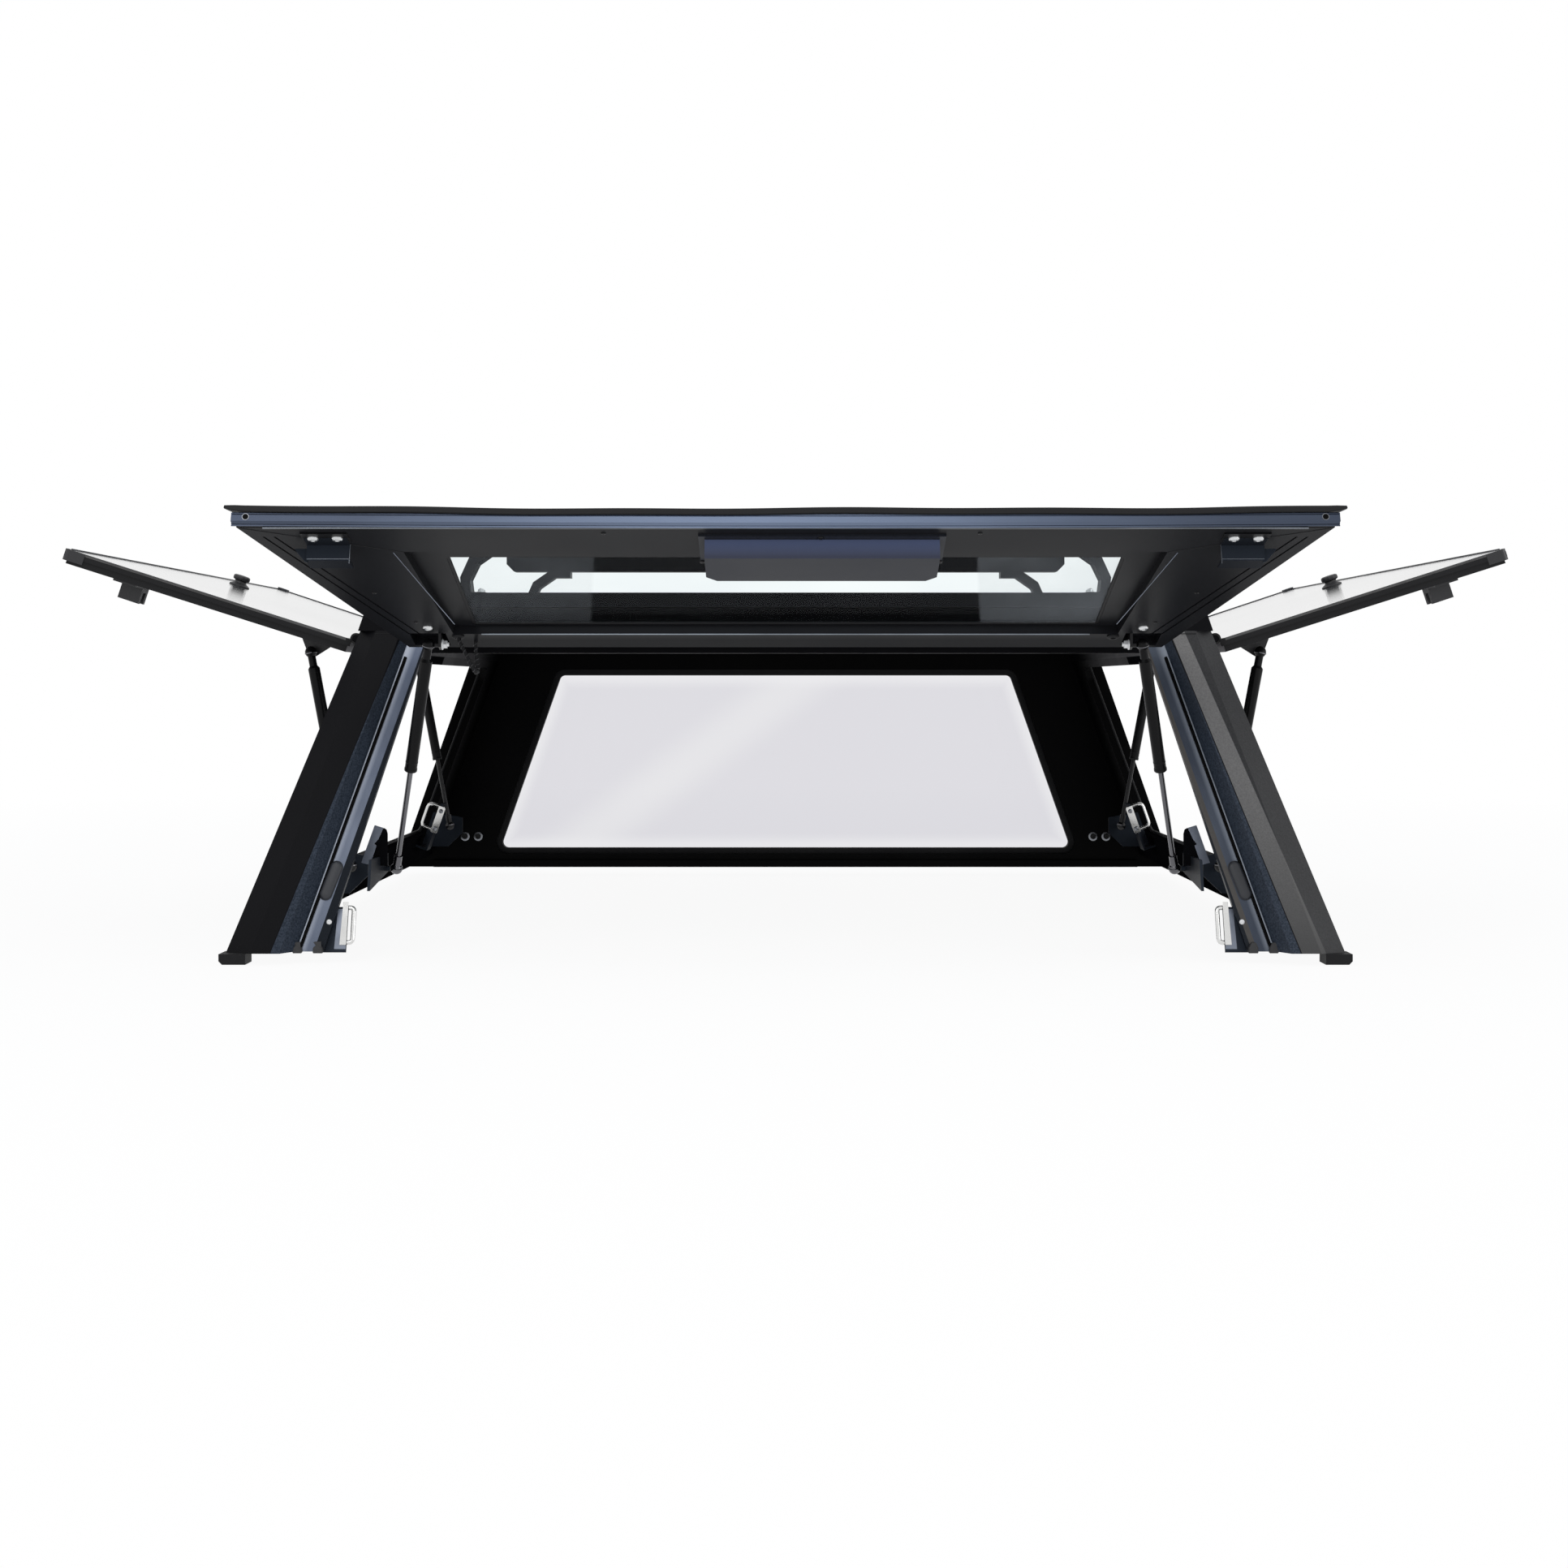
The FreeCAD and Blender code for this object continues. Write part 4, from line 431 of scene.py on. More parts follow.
LOOKS = {
    "front_wall": WALL, "rear_header": HEADER, "roof_panel": ROOF, "rear_door_frame": PANEL,
    "rear_door_rail": RAIL, "rear_door_lip": RUBBER, "lock_cover": COVER, "rear_latches": BRACKET,
    "rear_post": POST, "striker_plates": BRACKET, "striker_wires": CHROME, "strut_brackets": BRACKET,
    "side_strut_mounts": PLASTIC, "rear_strut_mounts": COAT, "front_window_seal": RUBBER,
    "front_window": FRONT_PANE, "rear_door_glass": REAR_GLASS, "side_door_glass": SIDE_GLASS,
    "side_latches": PLASTIC, "corner_feet": RUBBER, "post_plugs": PLUG, "side_knob": PLASTIC,
    "rack_": ROOF, "front_post": WALL, "side_header": HEADER, "rear_landing": SILL, "sill": SILL,
    "hinge_rails": HEADER, "rear_strut_tube": TUBE, "rear_strut_rod": ROD, "side_rear_tube": TUBE,
    "side_front_tube": TUBE, "side_rear_rod": BLACK_ROD, "side_front_rod": BLACK_ROD,
}


def dress_nodes():
    for name, thing in NODES.items():
        fitting = [key for key in LOOKS if name.startswith(key)]
        look = LOOKS[max(fitting, key=len)] if fitting else COAT
        for slot in thing.material_slots:
            slot.material = look


# Mesh pieces, each made of parts that are lists of vertices and faces

def axes_of(direction):
    w = Vector(direction).normalized()
    help_line = Vector((0, 0, 1)) if abs(w.z) < 0.9 else Vector((1, 0, 0))
    u = w.cross(help_line).normalized()
    return u, w.cross(u).normalized(), w


def turned(profile, centre, axis, count=24):
    """A closed part turned about an axis, from (radius, height) pairs."""
    u, v, w = axes_of(axis)
    verts, faces, rings = [], [], []
    for radius, height in profile:
        middle = Vector(centre) + w * height
        if radius < 1e-7:
            rings.append([len(verts)] * count)
            verts.append(middle)
            continue
        rings.append(list(range(len(verts), len(verts) + count)))
        for i in range(count):
            a = 2 * math.pi * i / count
            verts.append(middle + (u * math.cos(a) + v * math.sin(a)) * radius)
    for low, high in zip(rings, rings[1:]):
        for i in range(count):
            j = (i + 1) % count
            corners = [low[i], low[j], high[j], high[i]]
            corners = [c for k, c in enumerate(corners) if c != corners[k - 1]]
            if len(corners) > 2:
                faces.append(corners)
    for ring, flip in ((rings[0], True), (rings[-1], False)):
        if len(set(ring)) == count:
            faces.append(list(reversed(ring)) if flip else list(ring))
    return verts, faces


def block(corner, across, along, up):
    """A part with six faces from a corner and three edge vectors."""
    corner, across, along, up = (Vector(v) for v in (corner, across, along, up))
    base = [corner, corner + across, corner + across + along, corner + along]
    verts = base + [p + up for p in base]
    return verts, [(3, 2, 1, 0), (4, 5, 6, 7), (0, 1, 5, 4), (1, 2, 6, 5), (2, 3, 7, 6), (3, 0, 4, 7)]


def stacked(rings, closed=False):
    """A part from rings of points; it has end caps unless its last ring meets its first."""
    size = len(rings[0])
    verts = [point for ring in rings for point in ring]
    faces = []
    for i in range(len(rings) if closed else len(rings) - 1):
        j = (i + 1) % len(rings)
        for k in range(size):
            m = (k + 1) % size
            faces.append((i * size + k, i * size + m, j * size + m, j * size + k))
    if not closed:
        faces.append(tuple(reversed(range(size))))
        faces.append(tuple(range(len(verts) - size, len(verts))))
    return verts, faces


def swept(path, section, side_way, closed=False, sizes=None):
    """A section of (across, up) pairs carried along a path; across lies nearest to side_way."""
    path, way = [Vector(p) for p in path], Vector(side_way)
    count, rings = len(path), []
    for i, point in enumerate(path):
        before = path[i - 1] if i or closed else point
        after = path[(i + 1) % count] if i < count - 1 or closed else point
        run = (after - before).normalized()
        across = (way - run * run.dot(way)).normalized()
        up = run.cross(across).normalized()
        share = sizes[i] if sizes else 1.0
        rings.append([point + (across * a + up * b) * share for a, b in section])
    return stacked(rings, closed)


def prism(outline, way):
    """A part from a loop of points in a plane and the vector that it is thick along."""
    count, way = len(outline), Vector(way)
    verts = [Vector(p) for p in outline] + [Vector(p) + way for p in outline]
    faces = [tuple(range(count)), tuple(reversed(range(count, 2 * count)))]
    faces += [(i, i + count, (i + 1) % count + count, (i + 1) % count) for i in range(count)]
    return verts, faces


def rounded(corners, radius):
    """A path through corners, with its inner corners rounded."""
    path = [corners[0]]
    for before, here, after in zip(corners, corners[1:], corners[2:]):
        start = here + (before - here).normalized() * radius
        end = here + (after - here).normalized() * radius
        for i in range(7):
            u = i / 6
            path.append(start * (1 - u) ** 2 + here * 2 * u * (1 - u) + end * u ** 2)
    return path + [corners[-1]]


def round_section(radius, count=10):
    return [(radius * math.cos(2 * math.pi * i / count), radius * math.sin(2 * math.pi * i / count))
            for i in range(count)]


def bead(foot, low, top, high):
    """A thin trim's section, from half its foot's width, its underside, half its top's width and its top."""
    return [(-foot, low), (foot, low), (top, high), (-top, high)]


def placed(name, data):
    """A new object of the scene that holds this data."""
    made = bpy.data.objects.new(name, data)
    bpy.context.collection.objects.link(made)
    return made


def piece(name, parts, look, body, smooth=False, bevel=0.0):
    """One named mesh of the scene that rides on a body."""
    import bmesh
    verts, faces = [], []
    for part_verts, part_faces in parts:
        start = len(verts)
        verts += [tuple(v) for v in part_verts]
        faces += [tuple(start + i for i in face) for face in part_faces]
    mesh = bpy.data.meshes.new(name)
    mesh.from_pydata(verts, [], faces)
    work = bmesh.new()
    work.from_mesh(mesh)
    bmesh.ops.recalc_face_normals(work, faces=work.faces)
    if bevel:
        sharp = [e for e in work.edges if e.is_manifold and e.calc_face_angle() > 0.6]
        bmesh.ops.bevel(work, geom=sharp, offset=bevel, segments=2, affect="EDGES", clamp_overlap=True)
    work.to_mesh(mesh)
    work.free()
    if smooth:
        for polygon in mesh.polygons:
            polygon.use_smooth = True
        mesh.set_sharp_from_angle(angle=math.radians(40))
    made = placed(name, mesh)
    mesh.materials.append(look)
    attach(made, body)
    return made


def pan_head(centre, axis, radius, high):
    """A domed screw head with a cross recess's dimple."""
    return turned([(0, 0), (radius * 0.98, 0), (radius, high * 0.3), (radius * 0.88, high * 0.72),
                   (radius * 0.6, high * 0.95), (radius * 0.36, high), (radius * 0.3, high * 0.82),
                   (0, high * 0.7)], centre, axis)


def hex_nut(centre, axis, radius, high, flange=1.25):
    """A hexagon nut standing on a round flange, with the bolt's end in it."""
    shapes = (([(0, 0), (flange, 0), (flange, 0.16), (0.9, 0.3)], 28),
              ([(0.92, 0.22), (1, 0.3), (1, 0.9), (0.86, 1)], 6),
              ([(0.5, 0.6), (0.5, 1.25), (0.4, 1.35), (0, 1.35)], 18))
    return [turned([(radius * r, high * h) for r, h in shape], centre, axis, count)
            for shape, count in shapes]


# The rear door's trims and fittings

def lip():
    """The soft lip on the free edge: a foot, a fin with long waves, and curled ends."""
    path, sizes = [], []
    half, curl, count = 0.7145, 0.022, 120
    for i in range(count + 1):
        x = -half + 2 * half * (i / count)
        sag = 0.0034 * (1 - (x / half) ** 2)
        wave = 0.0009 * math.sin(x * 9.0 + 0.6) + 0.0006 * math.sin(x * 23.0) - sag
        edge = max(0.0, abs(x) - (half - curl)) / curl
        path.append(rear(x, 0.488 + 0.004 * edge, -0.001 + wave + 0.0035 * edge ** 2))
        sizes.append(1.0 - 0.62 * edge ** 2)
    section = [(-0.010, -0.0030), (0.0015, -0.0066), (0.0032, -0.0070), (0.0042, -0.0060), (0.0050, -0.0022),
               (0.0056, 0.0012), (0.0048, 0.0024), (0.0036, 0.0018), (0.0020, 0.0006), (-0.010, 0.0004)]
    made = piece("door_lip", [swept(path, section, REAR_AWAY, sizes=sizes)], RUBBER, "rear_door", smooth=True)
    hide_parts("rear_door_lip")


def rear_screw(x, s, depth, radius, high):
    return pan_head(rear(x, s, REAR_UNDER - depth), REAR_IN, radius, high)


def rear_fasteners():
    pale, plates, thin, wings, nuts = [], [], [], [], []
    middle, inner, outer = rear_half(0.455) - 0.097, 0.5630, 0.6180
    hair = bead(0.0004, -0.0006, 0.0004, 0.0007)
    corners = [(0.6170, -0.0285), (0.6350, -0.0285), (0.6345, -0.0305), (0.6215, -0.0460), (0.6170, -0.0480)]
    dark = [rear_screw(x, s, 0.003, 0.0042, 0.0022)
            for x, s in ((-0.109, 0.376), (0.203, 0.376), (0.045, 0.459))]
    dark += [rear_screw(x, 0.467, 0, 0.0032, 0.0015) for x in (-0.233, 0.249)]
    for _, sign in SIDES:
        for out in (-0.0155, 0.0155):
            pale.append(rear_screw(sign * (middle + out), 0.4560, 0.0022, 0.0073, 0.004))
        pale.append(rear_screw(sign * 0.513, 0.110, 0, 0.0072, 0.0045))
        plates.append(block(rear(sign * middle - 0.030, 0.4400, REAR_UNDER + 0.0004), (0.060, 0, 0),
                            REAR_AWAY * 0.0300, REAR_IN * 0.0026))
        # Thin painted highlight lines along the latch channel's edges.
        for n in (-0.0236, -0.0440):
            thin.append(swept([rear(sign * x, 0.4328, n) for x in (inner, outer)], hair, REAR_OUT))
        thin.append(swept([rear(sign * inner, 0.4328, n) for n in (-0.0236, -0.0500)], hair, (1, 0, 0)))
        wings.append(prism([rear(sign * x, 0.4285, n) for x, n in corners], REAR_AWAY * 0.0015))
        for s in (0.13, 0.25, 0.37):
            dark.append(rear_screw(sign * (rear_half(s) - 0.060), s, 0, 0.0030, 0.0012))
        nuts += hex_nut(rear(sign * 0.4979, 0.070, -0.0345), (-sign, 0, 0), 0.0062, 0.0075)
    piece("latch_bolts", pale, ZINC, "rear_door", smooth=True)
    piece("latch_plates", plates, COAT, "rear_door", bevel=0.0004)
    piece("latch_edge_highlights", thin, LINE, "rear_door")
    piece("latch_wings", wings, BRACKET, "rear_door")
    piece("door_screws", dark, COAT, "rear_door", smooth=True)
    piece("strut_nuts", nuts, PALE, "rear_door", smooth=True)


def rear_joins():
    """Mitre joins at the corners, painted highlight lines on the ribs' edges and the glass's glued edge."""
    joins, ribs, band = [], [], []
    for _, sign in SIDES:
        ends = ((rear_half(0.487) - 0.004, 0.484), (rear_half(0.402) - 0.172, 0.402))
        for group, line, section in ((joins, ends, bead(0.0008, 0.0, 0.0005, 0.0005)),
                                     (ribs, ((0.5130, 0.3998), (0.4730, 0.1230)),
                                      bead(0.0006, -0.0003, 0.0004, 0.0005))):
            group.append(swept([rear(sign * x, s, REAR_UNDER) for x, s in line], section, (1, 0, 0)))
    piece("corner_joins", joins, RUBBER, "rear_door")
    # Thin painted highlight lines along the ribs' lit edges.
    piece("rib_highlights", ribs, PALE_SHEEN, "rear_door")
    half, start, end, n = rear_half(0) - 0.095, 0.083, 0.352, -0.0072
    loop = [rear(-half, start, n), rear(half, start, n), rear(half, end, n), rear(-half, end, n)]
    for a, b in zip(loop, loop[1:] + loop[:1]):
        band.append(swept([a, b], bead(0.0045, -0.0006, 0.0035, 0.0012), REAR_IN.cross(b - a)))
    piece("pane_seal", band, RUBBER, "rear_door")


def grommets():
    ring = [(0.0035, 0.001), (0.0085, 0), (0.0090, 0.0015), (0.0070, 0.0032), (0.0040, 0.0036),
            (0.0035, 0.001)]
    parts = [turned(ring, rear(sign * 0.475, 0.071, REAR_UNDER), REAR_IN, 28) for _, sign in SIDES]
    piece("grommets", parts, RUBBER, "rear_door", smooth=True)


# Seals and small parts of the shell

STRIKER_Y = (-0.281, -1.368)


def opening_seals():
    """Bulb seals round the side openings and along the rear posts."""
    bulb = round_section(0.0036, 12)
    side_parts, rear_parts = [], []
    for _, sign in SIDES:
        low, high, grow = 0.088, 0.440, 0.008
        corners = [(tail_y(low) + 0.080 - grow, low), (-0.203 + grow, low), (-0.155 + grow, high),
                   (tail_y(high) + 0.080 - grow, high)]
        loop = []
        for i in range(4):
            a, b, c = (Vector((0, *corners[(i + k) % 4])) for k in (-1, 0, 1))
            into, out = (a - b).normalized() * 0.034, (c - b).normalized() * 0.034
            for t in (0.0, 0.2, 0.4, 0.6, 0.8, 1.0):
                p = (b + into) * (1 - t) ** 2 + b * 2 * t * (1 - t) + (b + out) * t ** 2
                loop.append(Vector((sign * (skin_x(p.z) - 0.033 + 0.0030), p.y, p.z)))
        side_parts.append(swept(loop, bulb, (1, 0, LEAN), closed=True))
        run = []
        for i in range(21):
            z = 0.004 + (0.424 - 0.004) * i / 20
            inset = 0.098 - (0.098 - 0.076) * z / EAVE_Z + 0.0045
            run.append(Vector((sign * (skin_x(z) - inset), tail_y(z) + 0.027 - 0.0016, z)))
        rear_parts.append(swept(run, round_section(0.0024, 12), (1, 0, 0)))
    piece("side_seals", side_parts, RUBBER, "root", smooth=True)
    piece("rear_seals", rear_parts, WALL, "root", smooth=True)


def shell_fasteners():
    pale, dark, washers = [], [], []
    washer = [(0.0045, 0), (0.0095, 0), (0.0095, 0.0014), (0.0088, 0.0018), (0.0045, 0.0018)]
    bolt = [(0, 0.0015), (0.0058, 0.0015), (0.0058, 0.0045), (0.005, 0.0055), (0.0032, 0.0055),
            (0.003, 0.0035), (0, 0.0035)]
    for _, sign in SIDES:
        for x in (0.675, 0.6475):
            centre = (sign * x, -0.020, 0.064)
            washers.append(turned(washer, centre, BACK, 28))
            dark.append(turned(bolt, centre, BACK, 20))
        inward = closed_side(sign, 0, 0, -1) - closed_side(sign, 0, 0, 0)
        for y in STRIKER_Y:
            for s in (0.308, 0.352):
                pale.append(pan_head(closed_side(sign, s, y, -0.0730), inward, 0.0042, 0.0022))
    piece("wall_washers", washers, STEEL, "root", smooth=True)
    piece("wall_bolts", dark, COAT, "root", smooth=True)
    piece("striker_screws", pale, ZINC, "root", smooth=True)


def post_caps():
    """Small moulded caps at the feet of the posts' flanges, and seams on the roof's rear corners."""
    caps, seams = [], []
    front = tail_y(0) + 0.0215
    z = EAVE_Z - 0.0045
    for _, sign in SIDES:
        for inset, wide in ((0.1005, 0.013), (0.1300, 0.014)):
            x, half = sign * (skin_x(0.0) - inset), wide / 2
            outline = [(x - half, front, -0.002), (x + half, front, -0.002), (x + half, front + 0.001, 0.006),
                       (x + sign * wide * 0.30, front + 0.003, 0.013),
                       (x - sign * wide * 0.15, front + 0.003, 0.013), (x - half, front + 0.001, 0.006)]
            caps.append(prism(outline, (0, 0.007, 0)))
        line = [(sign * (skin_x(z) - inset), tail_y(z) - 0.0001, z) for inset in (0.027, 0.066)]
        seams.append(swept(line, bead(0.0006, -0.0005, 0.0004, 0.0005), (0, 0, 1)))
    piece("flange_caps", caps, PLASTIC, "root", bevel=0.0008)
    piece("corner_seams", seams, RUBBER, "root")


# Strut details

SIDE_STRUTS = (("rear", -1.231), ("front", -0.231))


def side_top(sign, y):
    """The middle of a side strut's upper ball."""
    return side(sign, 0.080, y, -0.046)


def strut_trims():
    lines = []
    for name, sign in SIDES:
        lines.append((f"rear_strut_{name}", Vector((sign * 0.5880, -1.322, 0.105)),
                      rear(sign * 0.5176, 0.070, -0.0345)))
        for end, y in SIDE_STRUTS:
            lines.append((f"side_{end}_strut_{name}", Vector((sign * 0.6748, y, 0.100)), side_top(sign, y)))
    for name, seat, top in lines:
        way = (seat - top).normalized()
        collar = turned([(0.0046, 0.1995), (0.0094, 0.1995), (0.0096, 0.2010), (0.0096, 0.2035),
                         (0.0088, 0.2045), (0.0046, 0.2045), (0.0046, 0.1995)], top, way, 28)
        crimp = turned([(0.0089, 0.188), (0.0093, 0.1885), (0.0093, 0.1905), (0.0089, 0.191)], top, way, 28)
        piece(f"{name}_collar", [collar, crimp], TUBE, name + "_tube", smooth=True)
        for end, centre, line, body in (("top", top, way, "_tube"), ("foot", seat, -way, "_rod")):
            clip = turned([(0.0092, 0.0005), (0.0096, 0.0008), (0.0096, 0.0022), (0.0090, 0.0026)],
                          centre, line, 24)
            piece(f"{name}_{end}_clip", [clip], ROD, name + body, smooth=True)


# Side door details

def tip_path(sign, y, turn):
    """Round one corner of a side door's free edge, from along it to down its end."""
    s, n = 0.4145, -0.0115
    path = [side(sign, s + 0.0008, y + turn * 0.026, n)]
    for t in range(7):
        a = math.radians(90 * t / 6)
        path.append(side(sign, s - 0.0052 + 0.006 * math.cos(a),
                         y + turn * (0.0054 - 0.006 * math.sin(a)), n))
    rake = side_edge(s - 0.026) - side_edge(s) if turn > 0 else 0
    return path + [side(sign, s - 0.026, y - turn * 0.0006 + rake, n)]


def side_trims():
    for name, sign in SIDES:
        body, up = f"side_door_{name}", side_out(sign)
        section = [(-0.0080, -0.0010), (0.0085, -0.0010), (0.0085, 0.0016), (-0.0080, 0.0016)]
        caps = [swept(tip_path(sign, y, turn), section, up)
                for y, turn in ((side_edge(0.4145), 1), (-0.125, -1))]
        piece(f"tip_caps_{name}", caps, PLASTIC, body)
        # A painted highlight line along the door's near edge, where the ledge between its tiers catches the
        # light.
        edge = [side(sign, s, side_edge(s) - 0.0002, -0.0058) for s in (0.125, 0.3985)]
        seam = swept(edge, bead(0.0009, -0.0006, 0.0007, 0.0006), up)
        piece(f"ledge_highlights_{name}", [seam], LEDGE_SHINE, body)
        far, tip = -0.1290, 0.4110
        thin = [(-0.0010, -0.0008), (0.0012, -0.0008), (0.0012, 0.0008), (-0.0010, 0.0008)]
        corner = side(sign, tip, far, -0.0025)
        rims = [swept([side(sign, 0.060, far, -0.0025), corner], thin, up),
                swept([corner, side(sign, tip, side_edge(tip) + 0.012, -0.0025)], thin, up),
                block(side(sign, tip - 0.016, far - 0.018, -0.0035),
                      side(sign, 0.019, 0, 0) - side(sign, 0, 0, 0), (0, 0.021, 0), up * 0.0045)]
        piece(f"pane_rims_{name}", rims, PLUG, body)
        heads = [pan_head(side(sign, 0.022, y + 0.012, SIDE_UNDER), -up, 0.0034, 0.0016)
                 for y in (-0.231, -0.50, -0.78, -1.06, -1.231)]
        piece(f"frame_screws_{name}", heads, COAT, body, smooth=True)


def side_mounts():
    """Triangular feet under each side door, which carry the struts' upper ball studs."""
    web = [(0.012, -0.0235), (0.012, -0.0275), (0.056, -0.0290), (0.0735, -0.0505), (0.0775, -0.0525),
           (0.0835, -0.0525), (0.0875, -0.0500), (0.1060, -0.0270), (0.1060, -0.0235)]
    foot = [(0.060, -0.0235), (0.060, -0.0265), (0.106, -0.0265), (0.106, -0.0235)]
    for name, sign in SIDES:
        plates, studs = [], []
        for _, y in SIDE_STRUTS:
            for outline, back, thick in ((web, 0.0155, 0.004), (foot, 0.006, 0.022)):
                plates.append(prism([side(sign, s, y + back, n) for s, n in outline], (0, thick, 0)))
            studs.append(turned([(0.0042, 0.0095), (0.0042, 0.0160)], side_top(sign, y), (0, 1, 0), 20))
            studs += hex_nut(side_top(sign, y + 0.0195), (0, 1, 0), 0.0055, 0.005)
        made = piece(f"mount_feet_{name}", plates, PLASTIC, f"side_door_{name}", bevel=0.0006)
        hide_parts(f"side_strut_mounts_{name}")
        piece(f"mount_studs_{name}", studs, TUBE, f"side_door_{name}", smooth=True)


def knobs():
    """Low mushroom knobs with a fluted cap, a skirt and a seat washer."""
    skirt = [(0, 0.0), (0.0180, 0.0), (0.0180, 0.0018), (0.0165, 0.0030), (0.0112, 0.0062), (0.0104, 0.0085),
             (0.0108, 0.0105), (0, 0.0105)]
    cap = ((0.0105, 0.0100, 0.0), (0.0140, 0.0112, 0.0006), (0.0148, 0.0128, 0.0009),
           (0.0148, 0.0165, 0.0009), (0.0140, 0.0186, 0.0006), (0.0112, 0.0198, 0.0), (0.0040, 0.0202, 0.0))
    for name, sign in SIDES:
        seat, up = side(sign, 0.351, -0.701, -0.003), side_out(sign)
        u, v, w = axes_of(up)
        rings = []
        for radius, height, flute in cap:
            ring = []
            for i in range(48):
                a = 2 * math.pi * i / 48
                wide = radius - flute * (i % 4 == 0)
                ring.append(seat + (u * math.cos(a) + v * math.sin(a)) * wide + w * height)
            rings.append(ring)
        made = piece(f"knob_cap_{name}", [turned(skirt, seat, up, 36), stacked(rings)], PLASTIC,
                     f"knob_{name}", smooth=True)
        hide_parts(f"side_knob_{name}")


def domed_plugs():
    """Long domed plugs on the posts' flanges, standing on a thin rim."""
    parts = []
    z = 0.099
    out = Vector((0, -1, RAKE)).normalized()
    for _, sign in SIDES:
        centre = Vector((sign * (skin_x(z) - 0.107), tail_y(z) + 0.027, z))
        up_line = Vector((-sign * LEAN, RAKE, 1)).normalized()
        across = up_line.cross(out).normalized()
        rings = []
        for scale, height in ((1.0, -0.0005), (1.0, 0.0012), (0.93, 0.0016), (0.88, 0.0030), (0.74, 0.0043),
                              (0.5, 0.0051), (0.2, 0.0054)):
            radius, ring = 0.0098 * scale, []
            for i in range(40):
                a = 2 * math.pi * i / 40
                lift = 0.0205 if math.sin(a) >= 0 else -0.0205
                ring.append(centre + across * radius * math.cos(a) + up_line * (radius * math.sin(a) + lift)
                            + out * height)
            rings.append(ring)
        parts.append(stacked(rings))
    made = piece("domed_plugs", parts, PLUG, "root", smooth=True)
    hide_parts("post_plugs")


def rail_face():
    """The ribbed face of the capping rail and the small hole rings at its ends."""
    section = [(-0.0030, 0.0), (-0.0030, 0.0012), (-0.0052, 0.0016), (-0.0058, 0.0004), (-0.0066, 0.0004),
               (-0.0072, 0.0016), (-0.0150, 0.0019), (-0.0190, 0.0013), (-0.0194, 0.0003), (-0.0204, 0.0003),
               (-0.0208, 0.0012), (-0.0218, 0.0012), (-0.0218, 0.0)]
    half = 0.7035
    run = [rear(-half + 2 * half * i / 24, 0.4900, -0.0026 * (1 - (2 * i / 24 - 1) ** 2)) for i in range(25)]
    piece("rail_face", [swept(run, section, REAR_OUT)], RAIL, "rear_door")
    # Thin painted highlight lines: one under the rail and one along the pan's near edge.
    lines = [swept([rear(-x, s, n), rear(x, s, n)], bead(0.0007, -0.0006, 0.0005, 0.0006), REAR_OUT)
             for x, s, n in ((0.664, 0.4890, -0.0238), (0.440, 0.0800, -0.0223))]
    piece("edge_highlights", lines, LINE, "rear_door")
    under = block(rear(-0.664, 0.4860, -0.0246), (1.328, 0, 0), REAR_AWAY * 0.0024, REAR_OUT * 0.0030)
    piece("rail_foot", [under], COAT, "rear_door")
    rings, holes = [], []
    for _, sign in SIDES:
        centre = rear(sign * 0.686, 0.4915, -0.0095)
        rings.append(turned([(0.0034, 0.0), (0.0046, 0.0), (0.0046, 0.0007), (0.0034, 0.0007)],
                            centre, REAR_AWAY, 24))
        holes.append(turned([(0, 0.0), (0.0037, 0.0), (0.0037, 0.0011), (0, 0.0011)], centre, REAR_AWAY, 24))
    piece("rail_rings", rings, STEEL, "rear_door", smooth=True)
    piece("rail_hole_shades", holes, WALL, "rear_door")


def post_brackets():
    """Folded plates behind the posts that brace the rear struts' feet, notched at the fold; the face towards
    the back is painted pale as lit, and the web keeps the black coat.
    """
    pale, dark = [], []
    for _, sign in SIDES:
        strip = [(0.6118, 0.1735), (0.5988, 0.1695), (0.6066, 0.1526), (0.6128, 0.1454), (0.6090, 0.1430),
                 (0.6188, 0.1144), (0.6319, 0.1176)]
        pale.append(prism([(sign * x, -1.3730, z) for x, z in strip], (0, 0.0025, 0)))
        web = [(0.5988, 0.1695), (0.5945, 0.1670), (0.5928, 0.1605), (0.5928, 0.1124), (0.6188, 0.1144),
               (0.6090, 0.1430), (0.6128, 0.1454), (0.6066, 0.1526)]
        dark.append(prism([(sign * x, -1.3712, z) for x, z in web], (0, 0.0025, 0)))
    # The pale plate is the bracket's painted lit face; the web is the same part in its black coat.
    piece("post_brackets", pale, PALE_SHEEN, "root", bevel=0.0004)
    piece("bracket_webs", dark, SILL, "root", bevel=0.0004)


def striker_loops():
    """Thick bright wire loops with rounded corners, which the latches close over."""
    parts = []
    wire = round_section(0.0034, 14)
    bow = ((0.306, -0.068), (0.306, -0.0432), (0.354, -0.0432), (0.354, -0.068))
    box = ((0.6341, 0.0105), (0.6251, 0.0105), (0.6251, 0.0591), (0.6341, 0.0591))
    for _, sign in SIDES:
        for y in (-0.281, -1.3677):
            corners = [closed_side(sign, s, y, n) for s, n in bow]
            parts.append(swept(rounded(corners, 0.010), wire, (0, 1, 0)))
        corners = [Vector((sign * x, tail_y(z) + 0.0433, z)) for x, z in box]
        parts.append(swept(rounded(corners, 0.006), wire, (0, 1, -RAKE)))
    made = piece("striker_loops", parts, CHROME, "root", smooth=True)
    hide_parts("striker_wires")


